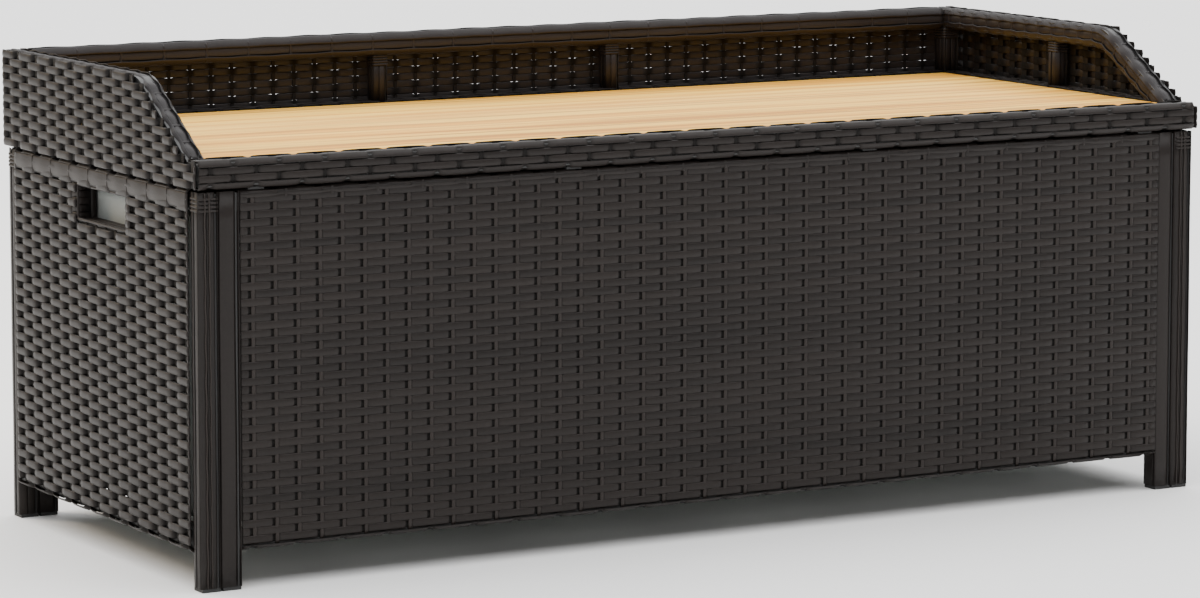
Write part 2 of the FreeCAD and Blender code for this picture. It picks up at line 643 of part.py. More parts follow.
wrap_z = ("box_height - %s" % rail, "box_height")
x = (less("%s - %s" % (half_length, rail)), "%s - %s" % (half_length, rail))
back_wrap = box("backRailWrap", x, back_y, wrap_z)
node("back_rail_wrap", minus("backRailWrapCut", back_wrap, [back_outside]))
for name, side in sides:
    wrap = armRail(name + "ArmWrap", side, "0", rail, "%s - %s" % (half_length, rail),
                   half_length + " - skin", rim_top)
    ends = [arm_outsides[name], back_outside]
    node(name + "_arm_rail_wrap", minus(name + "ArmRailWrap", wrap, ends))

sleeves = []
sleeve_z = (rim_top, "box_height - %s" % rail)
for middle in ("post_left", "post_right"):
    sleeve = box("%sSleeve" % middle,
                 (middle + " - post_tube/2 - skin", middle + " + post_tube/2 + skin"),
                 (post_y[0] + " - skin", post_y[1]), sleeve_z)
    sleeves.append(minus("%sWrap" % middle, sleeve, [back_outside]))
for name, side in sides:
    x = mirrored(side, half_length + " - 2*skin - post_tube", half_length + " - skin")
    sleeve = box(name + "ArmPostSleeve", x,
                 ("arm_post - post_tube/2 - skin", "arm_post + post_tube/2 + skin"), sleeve_z)
    sleeves.append(minus(name + "ArmPostWrap", sleeve, [arm_outsides[name]]))
    x = mirrored(side, "%s - %s" % (half_length, rail), half_length + " - skin")
    sleeve = box(name + "CornerSleeve", x, back_y, sleeve_z)
    sleeves.append(minus(name + "CornerWrap", sleeve, [arm_outsides[name]]))
node("post_wraps", group("postWraps", sleeves))

# ---------------------------------------------------------------- lid: seat boards
board_x = "(%s - %s - board_clear)" % (half_length, rail)
for i in range(4):
    front = "board_start + (board_width + board_gap)*%d" % i
    board = box("board%d" % (i + 1), (less(board_x), board_x), (front, front + " + board_width"),
                (board_bottom, board_top))
    node("seat_board_%d" % (i + 1), minus("seatBoard%d" % (i + 1), board, [seat_screw_holes]))

screws = []
for number, (x, y) in enumerate(seat_screws):
    head = pin("seatHead%d" % number, (x, y, frame_bottom), "-Z", "screw_head", "screw_head_height")
    shank = pin("seatShank%d" % number, (x, y, frame_bottom), "+Z", "screw_radius",
                "seat_screw_length")
    screws.append(joined("seatScrew%d" % number, [head, shank]))
node("seat_screws", group("seatScrews", screws))

pads = []
for i in (-3, -1, 1, 3):
    x = "bumper_place*(%d)" % i
    y = "(-box_depth/2 + rim_width/2)"
    pads.append(box("bumper%d" % (i + 3), (x + " - bumper_size/2", x + " + bumper_size/2"),
                    (y + " - bumper_size/2", y + " + bumper_size/2"), ("body_top", lid_bottom)))
node("lid_bumpers", group("lidBumpers", pads))

# ---------------------------------------------------------------- hinges
# five knuckles along the leaf: three on the fixed leaf, two on the lid's leaf
knuckle = "(leaf_length/5)"
axis_y = body_y
axis_z = "(body_top + seam_gap/2)"
leaf_y = ("%s - leaf_width" % body_y, body_y)
for name, side in sides:
    first = "(hinge_place*(%d) - leaf_length/2)" % side
    bore = pin(name + "HingeBore", (first + " - 1", axis_y, axis_z), "+X", "pin_radius + pin_clear",
               "leaf_length + 2")
    for kind, order, z, label in (
        ("Fixed", (0, 2, 4), ("body_top", "body_top + leaf_thickness"), "hinge_fixed_leaf"),
        ("Lid", (1, 3), (lid_bottom + " - leaf_thickness", lid_bottom), "hinge_lid_leaf"),
    ):
        tag = name + kind
        plate = box(tag + "Leaf", (first, first + " + leaf_length"),
                    (leaf_y[0], "%s - barrel_radius - relief" % body_y), z)
        pieces = [plate]
        for i in order:
            start = "%s + %s*%d + 0.1" % (first, knuckle, i)
            length = knuckle + " - 0.2"
            pieces.append(pin("%sKnuckle%d" % (tag, i), (start, axis_y, axis_z), "+X",
                              "barrel_radius", length))
            pieces.append(box("%sWeb%d" % (tag, i), (start, "%s + %s" % (start, length)),
                              ("%s - barrel_radius - relief" % body_y, body_y), z))
        holes = [bore]
        for end in (-1, 1):
            x = "hinge_place*(%d) + screw_pitch/2*(%d)" % (side, end)
            holes.append(pin("%sScrewHole%d" % (tag, end + 1), (x, leaf_middle, "body_top - 1"), "+Z",
                             "leaf_screw_head + hole_clear/2", "seam_gap + 2"))
        node("%s_%s" % (label, name), minus(tag + "HingeLeaf", joined(tag + "Solid", pieces), holes))
    node("hinge_pin_%s" % name, pin(name + "HingePin", (first, axis_y, axis_z), "+X", "pin_radius",
                                    "leaf_length"))

for kind, start, way, label in (("Low", "body_top", -1, "hinge_screws_body"),
                                ("High", lid_bottom, 1, "hinge_screws_lid")):
    screws = []
    for i, (x, y) in enumerate(leaf_screws):
        inward = "-Z" if way < 0 else "+Z"
        outward = "+Z" if way < 0 else "-Z"
        head = pin("%sLeafHead%d" % (kind, i), (x, y, start), outward, "leaf_screw_head",
                   "leaf_thickness")
        shank = pin("%sLeafShank%d" % (kind, i), (x, y, start), inward, "screw_radius",
                    "leaf_screw_length")
        screws.append(joined("%sLeafScrew%d" % (kind, i), [head, shank]))
    node(label, group(kind + "LeafScrews", screws))

# ---------------------------------------------------------------- gas struts
# each strut leans forward from its low pivot on the body to its high pivot under the lid
lean = "atan((low_pivot_y - high_pivot_y)/(high_pivot_z - low_pivot_z))"
closed = "sqrt((low_pivot_y - high_pivot_y)^2 + (high_pivot_z - low_pivot_z)^2)"


def along(name, side, start, radius, length):
    """A round bar on the strut's line, starting at a distance from the low pivot."""
    piece = doc.addObject("Part::Cylinder", name)
    piece.setExpression("Radius", bound(radius))
    piece.setExpression("Height", bound(length))
    piece.Placement = FreeCAD.Placement(FreeCAD.Vector(), FreeCAD.Rotation(FreeCAD.Vector(1, 0, 0), 15))
    piece.setExpression("Placement.Rotation.Angle", bound(lean))
    moveTo(piece, ("strut_place*(%d)" % side, "low_pivot_y - (%s)*sin(%s)" % (start, lean),
                   "low_pivot_z + (%s)*cos(%s)" % (start, lean)))
    return piece


def eye(name, side, y, z, hole):
    """A ring on the strut's end and the hole through it, both along X."""
    low = mirrored(side, "strut_place - eye_width/2", "strut_place + eye_width/2")[0]
    ring = pin(name + "Ring", (low, y, z), "+X", "eye_radius", "eye_width")
    bore = pin(name + "Bore", (low + " - 1", y, z), "+X", hole, "eye_width + 2")
    return ring, bore


for name, side in sides:
    ring, bore = eye(name + "LowEye", side, "low_pivot_y", "low_pivot_z", "stud_radius + stud_clear")
    barrel = along(name + "Barrel", side, "eye_radius - 1", "strut_radius",
                   "strut_length + 1")
    chamber = along(name + "Chamber", side, "eye_radius + 3", "strut_bore",
                    "strut_length - 3 - gland_length")
    gland = along(name + "Gland", side, "eye_radius + 3", "rod_radius + rod_clear",
                  "strut_length + 1")
    node("strut_cylinder_%s" % name, minus(name + "StrutCylinder",
                                           joined(name + "CylinderSolid", [ring, barrel]),
                                           [bore, chamber, gland]))
    ring, bore = eye(name + "HighEye", side, "high_pivot_y", "high_pivot_z", "stud_radius")
    piston = along(name + "Piston", side, "eye_radius + 4", "strut_bore - rod_clear",
                   "piston_length")
    rod = along(name + "Rod", side, "eye_radius + 4", "rod_radius",
                "%s - 2*eye_radius - 3" % closed)
    node("strut_rod_%s" % name, minus(name + "StrutRod",
                                      joined(name + "RodSolid", [ring, piston, rod]), [bore]))

    # the low bracket hangs from the side panel's top rail, inside the liner
    plate_outer = "%s - liner_wall - plate_gap" % liner_x
    plate_x = mirrored(side, plate_outer + " - plate", plate_outer)
    seat_x = mirrored(side, plate_outer + " - plate", "%s - %s" % (body_x, leg))
    spread = ("low_pivot_y - eye_radius - 1", "low_pivot_y + eye_radius + 1")
    plate = box(name + "LowPlate", plate_x, spread, ("low_pivot_z - eye_radius - 3", "body_top - 3"))
    seat = box(name + "LowSeat", seat_x, spread, (liner_top + " + 2", "body_top - 3"))
    reach = "%s - plate - strut_place + eye_width/2 + plate_gap" % plate_outer
    way = "-X" if side > 0 else "+X"
    stud = pin(name + "LowStud", ("(%s - plate/2)*(%d)" % (plate_outer, side), "low_pivot_y",
                                  "low_pivot_z"), way, "stud_radius", "%s + plate/2" % reach)
    node("strut_bracket_body_%s" % name, joined(name + "LowBracket", [plate, seat, stud]))

    # the high bracket hangs under the lid's end crossbar, its stud stops short of the rod's eye
    inner = "strut_place - eye_width/2 - stud_gap - eye_radius/2"
    plate_x = mirrored(side, inner + " - plate", inner)
    plate = box(name + "HighPlate", plate_x, ("high_pivot_y - eye_radius", "high_pivot_y + eye_radius"),
                ("high_pivot_z - eye_radius", frame_bottom))
    way = "+X" if side > 0 else "-X"
    stud = pin(name + "HighStud", ("(%s - plate/2)*(%d)" % (inner, side), "high_pivot_y",
                                   "high_pivot_z"), way, "stud_radius", "plate/2 + eye_radius/2")
    node("strut_bracket_lid_%s" % name, joined(name + "HighBracket", [plate, stud]))

# ---------------------------------------------------------------- check and export
doc.recompute()
for item in doc.Objects:
    if "Invalid" in item.State or "Error" in item.State:
        raise RuntimeError("%s failed: %s" % (item.Label, item.State))
for piece in nodes:
    if piece.Shape.isNull() or not piece.Shape.isValid():
        raise RuntimeError("%s has no valid shape" % piece.Label)

os.makedirs("parts", exist_ok=True)
for piece in nodes:
    piece.Shape.exportStep("parts/%s.step" % piece.Label)
    print("%-28s %2d solids %12.1f mm3" % (piece.Label, len(piece.Shape.Solids), piece.Shape.Volume))
print("%d sub-parts" % len(nodes))
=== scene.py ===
import json
import math

import bmesh
import bpy
import numpy as np
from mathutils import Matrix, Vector


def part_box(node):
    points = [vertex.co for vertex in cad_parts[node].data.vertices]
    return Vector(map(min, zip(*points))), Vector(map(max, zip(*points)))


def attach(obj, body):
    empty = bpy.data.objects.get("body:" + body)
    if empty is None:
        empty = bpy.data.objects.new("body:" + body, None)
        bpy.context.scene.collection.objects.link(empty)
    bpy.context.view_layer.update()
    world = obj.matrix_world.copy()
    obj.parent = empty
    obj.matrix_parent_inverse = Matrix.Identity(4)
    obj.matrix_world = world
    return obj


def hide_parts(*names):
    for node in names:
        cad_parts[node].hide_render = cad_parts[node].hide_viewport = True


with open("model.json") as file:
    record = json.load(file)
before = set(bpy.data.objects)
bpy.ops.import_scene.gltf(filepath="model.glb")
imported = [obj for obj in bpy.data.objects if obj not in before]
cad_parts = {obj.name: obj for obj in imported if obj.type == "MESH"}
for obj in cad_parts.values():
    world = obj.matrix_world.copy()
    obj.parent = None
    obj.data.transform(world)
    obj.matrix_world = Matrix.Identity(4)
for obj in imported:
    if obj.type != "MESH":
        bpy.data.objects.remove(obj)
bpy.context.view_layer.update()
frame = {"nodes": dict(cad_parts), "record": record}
print("frame loaded:", len(frame["nodes"]), "nodes")

random = np.random.default_rng(57)
xAxis = np.array([1.0, 0.0, 0.0])
yAxis = np.array([0.0, 1.0, 0.0])
zAxis = np.array([0.0, 0.0, 1.0])


# The node's lowest and highest corners as arrays.
def corners(node):
    low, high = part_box(node)
    return np.array(low), np.array(high)


# flat strip: shape helpers

# v / |v| along the last axis.
def unit(vector):
    return vector / np.maximum(np.linalg.norm(vector, axis=-1, keepdims=True), 1e-9)


# Section of a flat strip, anticlockwise: eased edges and a top raised by crown at its middle.
def flatSection(width, thick, crown):
    w, t = width, thick
    return np.array([(w / 2, -0.1 * t), (0.36 * w, 0.4 * t), (0, 0.4 * t + crown), (-0.36 * w, 0.4 * t),
                     (-w / 2, -0.1 * t), (-0.38 * w, -0.5 * t), (0.38 * w, -0.5 * t)])


# (r cos t, r sin t) for t over one turn.
def roundSection(radius, count=8):
    turn = np.linspace(0, 2 * np.pi, count, endpoint=False)
    return radius * np.stack([np.cos(turn), np.sin(turn)], -1)


# A polyline with each corner c replaced by the curve (1-t)^2 p + 2t(1-t) c + t^2 q,
# where p and q lie on its two sides at the given distance.
def roundedLine(points, radius, steps=5, closed=False):
    points = np.array(points, float)
    t = np.linspace(0, 1, steps)[:, None]
    out = []
    count = len(points)
    for i in range(count):
        corner = points[i]
        if not closed and i in (0, count - 1):
            out.append(corner[None])
            continue
        before = points[i - 1] - corner
        after = points[(i + 1) % count] - corner
        reach = min(radius, 0.49 * np.linalg.norm(before), 0.49 * np.linalg.norm(after))
        p = corner + unit(before) * reach
        q = corner + unit(after) * reach
        out.append((1 - t) ** 2 * p + 2 * t * (1 - t) * corner + t ** 2 * q)
    line = np.concatenate(out)
    if closed:
        line = np.concatenate([line, line[:1]])
    return line


# Points and unit tangents of a polyline at the given distances along it.
def lineAt(line, places):
    steps = np.linalg.norm(np.diff(line, axis=0), axis=1)
    run = np.concatenate([[0], np.cumsum(steps)])

    def at(s):
        return np.stack([np.interp(s, run, line[:, i]) for i in range(line.shape[1])], -1)

    step = 0.0006
    ahead = at(np.minimum(places + step, run[-1]))
    behind = at(np.maximum(places - step, 0))
    return at(places), unit(ahead - behind), run[-1]


# strip(s, t) = centre(s) + across(s) a(t) + up(s) b(t), (a, b) running round the section; the last argument
# is painted shade for each section, 0 to 1.
def layStrip(centre, across, up, section, tint=0.5, ring=False, hollow=0.0):
    centre = np.asarray(centre, float)
    across = np.broadcast_to(across, centre.shape)
    up = np.broadcast_to(up, centre.shape)
    tangent = np.gradient(centre, axis=0)
    if np.sum(tangent * np.cross(across, up)) < 0:
        section = section[::-1]
    points = centre[:, None] + across[:, None] * section[None, :, :1] + up[:, None] * section[None, :, 1:]
    paintedShadeMask = np.repeat(np.broadcast_to(hollow, (len(centre),)), len(section))
    return {"points": points, "tint": tint, "ring": ring, "hollow": paintedShadeMask}


# One mesh of all the strips: quads between neighbouring sections, the two ends closed.
# The UV map holds the distance along the strip and the distance round its section, in metres.
def makePiece(name, strips, body, material, hides=(), smooth=True):
    verts, quads, quadUv, caps, capUv, tints, paintedShades = [], [], [], [], [], [], []
    base = 0
    for strip in strips:
        points = strip["points"]
        rows, around = points.shape[:2]
        index = base + np.arange(rows * around).reshape(rows, around)
        run = np.concatenate([[0], np.cumsum(np.linalg.norm(np.diff(points.mean(1), axis=0), axis=1))])
        rim = np.linalg.norm(np.roll(points[0], -1, 0) - points[0], axis=1)
        turn = np.concatenate([[0], np.cumsum(rim)])
        if strip["ring"]:
            index = np.concatenate([index, index[:1]])
            run = np.append(run, run[-1] + np.linalg.norm(points[-1].mean(0) - points[0].mean(0)))
        across = np.roll(index, -1, axis=1)
        quads.append(np.stack([index[:-1], across[:-1], across[1:], index[1:]], -1).reshape(-1, 4))
        u = np.broadcast_to(run[:, None], (len(run), around))
        v = np.broadcast_to(turn[None], (len(run), around + 1))
        uv = np.stack([np.stack([u[:-1], v[:-1, :-1]], -1), np.stack([u[:-1], v[:-1, 1:]], -1),
                       np.stack([u[1:], v[1:, 1:]], -1), np.stack([u[1:], v[1:, :-1]], -1)], 2)
        quadUv.append(uv.reshape(-1, 2))
        if not strip["ring"]:
            caps.append(index[0][::-1].tolist())
            caps.append(index[-1].tolist())
            capUv.append(np.zeros((2 * around, 2)))
        verts.append(points.reshape(-1, 3))
        tints.append(np.broadcast_to(strip["tint"], (rows * around,)))
        paintedShades.append(np.broadcast_to(strip.get("hollow", 0.0), (rows * around,)))
        base += rows * around
    mesh = bpy.data.meshes.new(name)
    mesh.from_pydata(np.concatenate(verts).tolist(), [], np.concatenate(quads).tolist() + caps)
    layer = mesh.uv_layers.new(name="UVMap")
    layer.data.foreach_set("uv", np.concatenate(quadUv + capUv).astype(np.float32).ravel())
    # tint, and painted shade for each vertex, as point attributes for the strip finish
    for key, values in (("tint", tints), ("hollow", paintedShades)):
        layer = mesh.attributes.new(key, "FLOAT", "POINT")
        layer.data.foreach_set("value", np.concatenate(values).astype(np.float32))
    mesh.polygons.foreach_set("use_smooth", np.full(len(mesh.polygons), smooth))
    mesh.update()
    return placePiece(name, mesh, body, material, hides)


# Links the mesh as a piece that rides on a body and stands for the hidden nodes.
def placePiece(name, mesh, body, material, hides=()):
    piece = bpy.data.objects.new(name, mesh)
    bpy.context.scene.collection.objects.link(piece)
    mesh.materials.clear()
    mesh.materials.append(material)
    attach(piece, body)
    if hides:
        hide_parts(*hides)
    return piece


# finishes

# A node material built up step by step.
class Finish:
    def __init__(self, name, **sockets):
        self.material = bpy.data.materials.new(name)
        self.material.use_nodes = True
        self.tree = self.material.node_tree
        self.shader = self.tree.nodes["Principled BSDF"]
        for key, value in sockets.items():
            self.shader.inputs[key.replace("_", " ")].default_value = value

    def node(self, kind, inputs=None, **settings):
        made = self.tree.nodes.new(kind)
        for key, value in settings.items():
            setattr(made, key, value)
        for key, value in (inputs or {}).items():
            if hasattr(value, "is_linked"):
                self.tree.links.new(value, made.inputs[key])
            else:
                made.inputs[key].default_value = value
        return made

    def math(self, operation, first, second=0.0, third=0.0):
        return self.node("ShaderNodeMath", {0: first, 1: second, 2: third}, operation=operation).outputs[0]

    def mapped(self, source, scale, place=(0, 0, 0)):
        return self.node("ShaderNodeMapping", {"Vector": source, "Scale": scale,
                                               "Location": place}).outputs[0]

    def noise(self, vector, scale, detail=3.0, rough=0.5):
        return self.node("ShaderNodeTexNoise", {"Vector": vector, "Scale": scale, "Detail": detail,
                                                "Roughness": rough}).outputs["Fac"]

    def ramp(self, factor, stops):
        made = self.node("ShaderNodeValToRGB", {"Fac": factor})
        while len(made.color_ramp.elements) < len(stops):
            made.color_ramp.elements.new(0.5)
        for element, (place, colour) in zip(made.color_ramp.elements, stops):
            element.position = place
            element.color = (*colour, 1)
        return made.outputs["Color"]

    def mix(self, factor, first, second, blend="MIX"):
        made = self.node("ShaderNodeMix", data_type="RGBA", blend_type=blend)
        for key, value in ((0, factor), (6, first), (7, second)):
            if hasattr(value, "is_linked"):
                self.tree.links.new(value, made.inputs[key])
            else:
                made.inputs[key].default_value = value
        return made.outputs[2]

    # value from 0..1 to low..high
    def fit(self, value, low, high):
        return self.node("ShaderNodeMapRange", {"Value": value, "To Min": low, "To Max": high}).outputs[0]

    def bump(self, height, strength, distance, under=None):
        inputs = {"Height": height, "Strength": strength, "Distance": distance}
        if under is not None:
            inputs["Normal"] = under
        return self.node("ShaderNodeBump", inputs).outputs["Normal"]

    def wire(self, socket, value):
        self.tree.links.new(value, self.shader.inputs[socket])


stripLook = {
    "dark": (0.0058, 0.0040, 0.0036),      # linear colour of the darkest strips
    "light": (0.0165, 0.0122, 0.0106),
    "specular": 0.20,
    "roughness": (0.34, 0.52),
    "grooves": 2300.0,                     # fine lengthwise grooves, per metre of width
    "grooveDepth": 0.00012,
}


# Extruded plastic strip: colour from the strip's own tint, long faint streaks and fine grooves, and painted
# shade that takes the colour to near black where a row dips behind a stake. lift multiplies the colour; the
# lifted copy below is painted light.
def stripFinish(name, lift=(1.0, 1.0, 1.0), specular=stripLook["specular"]):
    f = Finish(name, Roughness=0.42, Specular_IOR_Level=specular)
    uv = f.node("ShaderNodeUVMap", uv_map="UVMap").outputs[0]
    place = f.node("ShaderNodeTexCoord").outputs["Object"]
    tint = f.node("ShaderNodeAttribute", attribute_name="tint").outputs["Fac"]
    streak = f.noise(f.mapped(uv, (7, 900, 1)), 1.0, 2.0)
    cloud = f.noise(place, 9.0, 3.0)
    amount = f.math("MULTIPLY_ADD", streak, 0.45, f.math("MULTIPLY_ADD", cloud, 0.25,
                                                         f.math("MULTIPLY", tint, 0.45)))
    amount = f.math("SUBTRACT", amount, 0.08)
    dark = tuple(m * c for m, c in zip(lift, stripLook["dark"]))
    light = tuple(m * c for m, c in zip(lift, stripLook["light"]))
    colour = f.ramp(amount, [(0.2, dark), (0.62, tuple((a + b) / 2 for a, b in zip(dark, light))),
                             (0.95, light)])
    dust = f.noise(place, 260.0, 2.0)
    colour = f.mix(f.fit(dust, 0.0, 0.12), colour, (0.07, 0.064, 0.058, 1))
    # painted shade: near black where the row dips behind a stake, and a little rougher there too
    paintedShadeMask = f.node("ShaderNodeAttribute", attribute_name="hollow").outputs["Fac"]
    f.wire("Base Color", f.mix(f.math("MULTIPLY", paintedShadeMask, 0.9), colour, (0.0012, 0.0009, 0.0006, 1)))
    sheen = f.fit(f.math("MULTIPLY_ADD", streak, 0.6, f.math("MULTIPLY", cloud, 0.4)),
                  *stripLook["roughness"])
    f.wire("Roughness", f.math("MULTIPLY_ADD", paintedShadeMask, 0.45, sheen))
    groove = f.noise(f.mapped(uv, (3, stripLook["grooves"], 1)), 1.0, 1.0)
    wave = f.noise(f.mapped(uv, (60, 200, 1)), 1.0, 2.0)
    first = f.bump(groove, 0.55, stripLook["grooveDepth"])
    f.wire("Normal", f.bump(wave, 0.35, 0.0005, first))
    return f.material


woodLook = {
    "pale": (0.97, 0.58, 0.095),
    "honey": (0.78, 0.360, 0.036),
    "line": (0.42, 0.155, 0.016),
    "roughness": (0.42, 0.62),
}


# Oiled hardwood: streaks drawn out along the board, thin darker lines and fine pores.
def woodFinish(name):
    f = Finish(name, Roughness=0.5, Specular_IOR_Level=0.25)
    place = f.node("ShaderNodeTexCoord").outputs["Object"]
    tint = f.node("ShaderNodeAttribute", attribute_name="tint").outputs["Fac"]
    shift = f.node("ShaderNodeCombineXYZ", {"X": f.math("MULTIPLY", tint, 7.0),
                                            "Y": f.math("MULTIPLY", tint, 3.0), "Z": 0.0}).outputs[0]
    moved = f.node("ShaderNodeVectorMath", {0: place, 1: shift}, operation="ADD").outputs[0]
    bend = f.noise(f.mapped(moved, (2.2, 5.0, 5.0)), 1.0, 2.0)
    sway = f.node("ShaderNodeCombineXYZ", {"X": 0.0, "Y": f.math("MULTIPLY", bend, 0.022),
                                           "Z": 0.0}).outputs[0]
    grain = f.node("ShaderNodeVectorMath", {0: moved, 1: sway}, operation="ADD").outputs[0]
    broad = f.noise(f.mapped(grain, (1.0, 42, 24)), 1.0, 3.0)
    fine = f.noise(f.mapped(grain, (5, 330, 160)), 1.0, 4.0, 0.6)
    lines = f.noise(f.mapped(grain, (1.1, 95, 50)), 1.0, 1.0)
    tone = f.math("MULTIPLY_ADD", broad, 0.75, f.math("MULTIPLY", fine, 0.25))
    colour = f.ramp(tone, [(0.43, woodLook["honey"]), (0.50, tuple(
        (a + b) / 2 for a, b in zip(woodLook["honey"], woodLook["pale"]))), (0.56, woodLook["pale"])])
    mark = f.math("SMOOTH_MIN", f.math("MAXIMUM", f.math("MULTIPLY", f.math(
        "SUBTRACT", lines, 0.56), 8.0), 0.0), 0.65, 0.2)
    colour = f.mix(mark, colour, (*woodLook["line"], 1))
    pores = f.noise(f.mapped(grain, (26, 900, 400)), 1.0, 2.0)
    pore = f.math("MAXIMUM", f.math("MULTIPLY", f.math("SUBTRACT", pores, 0.6), 2.4), 0.0)
    colour = f.mix(pore, colour, (0.33, 0.17, 0.06, 1))
    board = f.fit(tint, 0.93, 1.04)
    grey = f.node("ShaderNodeCombineXYZ", {"X": board, "Y": board, "Z": board}).outputs[0]
    f.wire("Base Color", f.mix(1.0, colour, grey, "MULTIPLY"))
    f.wire("Roughness", f.fit(fine, *woodLook["roughness"]))
    f.wire("Normal", f.bump(f.math("SUBTRACT", fine, f.math("MULTIPLY", pore, 0.8)), 0.35, 0.0004))
    return f.material


# Light grey coated fabric: a fine plain weave, faint creases and soft patches.
def clothFinish(name):
    f = Finish(name, Roughness=0.7, Sheen_Weight=0.15)
    place = f.node("ShaderNodeTexCoord").outputs["Object"]
    cloud = f.noise(place, 5.0, 4.0)
    crease = f.noise(f.mapped(place, (14, 14, 30)), 1.0, 3.0)
    thread = f.node("ShaderNodeTexWave", {"Vector": place, "Scale": 420.0, "Distortion": 0.4},
                    bands_direction="Z").outputs["Fac"]
    cross = f.node("ShaderNodeTexWave", {"Vector": place, "Scale": 420.0, "Distortion": 0.4},
                   bands_direction="DIAGONAL").outputs["Fac"]
    weave = f.math("MULTIPLY", thread, cross)
    tone = f.math("MULTIPLY_ADD", cloud, 0.7, f.math("MULTIPLY", crease, 0.3))
    f.wire("Base Color", f.ramp(tone, [(0.32, (0.25, 0.27, 0.255)), (0.52, (0.32, 0.34, 0.325)),
                                       (0.70, (0.39, 0.41, 0.395))]))
    f.wire("Roughness", f.fit(weave, 0.6, 0.8))
    first = f.bump(weave, 0.3, 0.0002)
    f.wire("Normal", f.bump(crease, 0.4, 0.004, first))
    return f.material


# Paint, plating or moulded plastic: a mottled colour, a fine orange-peel skin and worn patches.
def coatedFinish(name, dark, light, rough, metal=0.0, speckle=900.0, depth=0.00008):
    f = Finish(name, Metallic=metal, Roughness=sum(rough) / 2)
    place = f.node("ShaderNodeTexCoord").outputs["Object"]
    cloud = f.noise(place, 22.0, 4.0)
    grit = f.noise(place, speckle, 2.0)
    tone = f.math("MULTIPLY_ADD", cloud, 0.7, f.math("MULTIPLY", grit, 0.3))
    f.wire("Base Color", f.ramp(tone, [(0.35, dark), (0.65, light)]))
    f.wire("Roughness", f.fit(cloud, *rough))
    f.wire("Normal", f.bump(grit, 0.5, depth))
    return f.material


stripDark = stripFinish("wovenStrip")
# painted light: a lighter, bluer copy of the strip colour for the backrest, rails and posts, which sit in
# shade under brown light from the seat
stripShadeLifted = stripFinish("shadedStrip", (1.5, 1.8, 2.2), 0.18)
finishes = {
    "woven_strip": stripDark,
    "seat_wood": woodFinish("seatWood"),
    "liner_fabric": clothFinish("linerCloth"),
    "coated_steel": coatedFinish("coatedSteel", (0.012, 0.012, 0.012), (0.022, 0.021, 0.020), (0.38, 0.55)),
    "black_plastic": coatedFinish("capPlastic", (0.010, 0.010, 0.010), (0.020, 0.020, 0.019), (0.45, 0.62),
                                  speckle=1500.0, depth=0.0001),
    "black_rubber": coatedFinish("bumperRubber", (0.008, 0.008, 0.008), (0.016, 0.015, 0.015), (0.7, 0.85)),
    "black_paint": coatedFinish("strutPaint", (0.008, 0.008, 0.009), (0.014, 0.014, 0.015), (0.22, 0.34)),
    "chromed_rod": coatedFinish("chromedRod", (0.56, 0.57, 0.58), (0.68, 0.69, 0.70), (0.06, 0.14), 1.0,
                                400.0, 0.00002),
    "zinc_hardware": coatedFinish("zincPlate", (0.42, 0.42, 0.41), (0.58, 0.58, 0.56), (0.28, 0.42), 1.0,
                                  700.0, 0.00005),
}
print("finishes made")

# the weave: rows over and under stakes

weaveLook = {
    "rowPitch": 0.009,
    "stakePitch": 0.0285,
    "width": 0.00905,
    "thick": 0.0010,
    "crown": 0.00035,
    "low": -0.0019,        # how far a row dips behind a stake
    "high": 0.0002,
    "bow": 0.0008,         # how far the long float stands out at its middle
    "bowSpread": (0.75, 1.2),
    "ripple": 0.00012,     # slow rise and fall along every row
    "wander": 0.00022,     # and its drift to either side
    "waves": (31, 19),     # of these two, radians a metre
    "plainStep": 0.03,     # between points of a row that passes no stakes
    "shortest": 0.004,     # a run shorter than this is left out
    "endStep": 0.0015,
    "stakeWidth": 0.0048,
    # painted shade: a stake's tint and its shade share below colour it dark, as in the shade between the
    # rows
    "stakeSunk": -0.0010,
    "stakeTint": -0.6,
    "stakeShift": 0.0,     # how far a stake stands to one side of the dips
    "stakeHollow": 0.6,
    "stakeThick": 0.0009,
    "stakeCrown": 0.0003,
    "stakeStep": 0.006,    # between a stake's points on the bends of its panel
    "dip": 0.04,           # share of the stake pitch over which a row stays down, each way
    "rise": 0.30,          # share of it over which the row comes up again
    "riseKnots": (0.1, 0.38, 0.68, 1.0),   # where the rise gets its points, as shares of it
    "pinch": 0.0,          # how much narrower a row is behind its stake
    "hollow": 1.0,         # painted shade: how dark the row is coloured where it dips
    "skinMiddle": 0.00125,
}
# seen face on, flat and close; seen along the side, full floats with deep slots between them
# the front look colours its stakes light, a painted highlight, with no painted shade on them
frontLook = dict(weaveLook, low=-0.0012, bow=0.0003, crown=0.0003, width=0.0099, dip=0.12, rise=0.08,
                 wander=0.0001, hollow=1.0, stakeWidth=0.0054, stakeSunk=0.0001, stakeTint=2.2,
                 stakeHollow=0.0, stakeShift=0.0017, riseKnots=(0.1, 0.55, 1.0))
sideLook = dict(weaveLook, low=-0.0011, high=0.0024, bow=0.0011, crown=0.0006, dip=0.17, rise=0.20,
                stakeWidth=0.0060, stakeSunk=-0.0005, width=0.0098, pinch=0.02)
armWeaveLook = dict(sideLook, width=0.0101, stakeWidth=0.012, pinch=0.0)
backLook = dict(weaveLook, width=0.0094, bow=0.0004, pinch=0.09, wander=0.0001)


# spine(u) = start + along u, its section axes side and rise the same all along.
def straightSpine(start, along, side, rise):
    start, along = np.array(start, float), np.array(along, float)

    def at(u):
        u = np.asarray(u, float)
        return start + u[:, None] * along, np.array(side, float), np.broadcast_to(rise, (len(u), 3))

    return at


# spine(u) = point of the (y, z) line at u, its rise the line's normal on the upper side.
def bentSpine(line, side):
    def at(u):
        place, way, total = lineAt(line, np.asarray(u, float))
        points = np.concatenate([np.zeros((len(place), 1)), place], 1)
        rise = np.stack([np.zeros(len(way)), -way[:, 1], way[:, 0]], -1)
        return points, np.array(side, float), rise

    return at


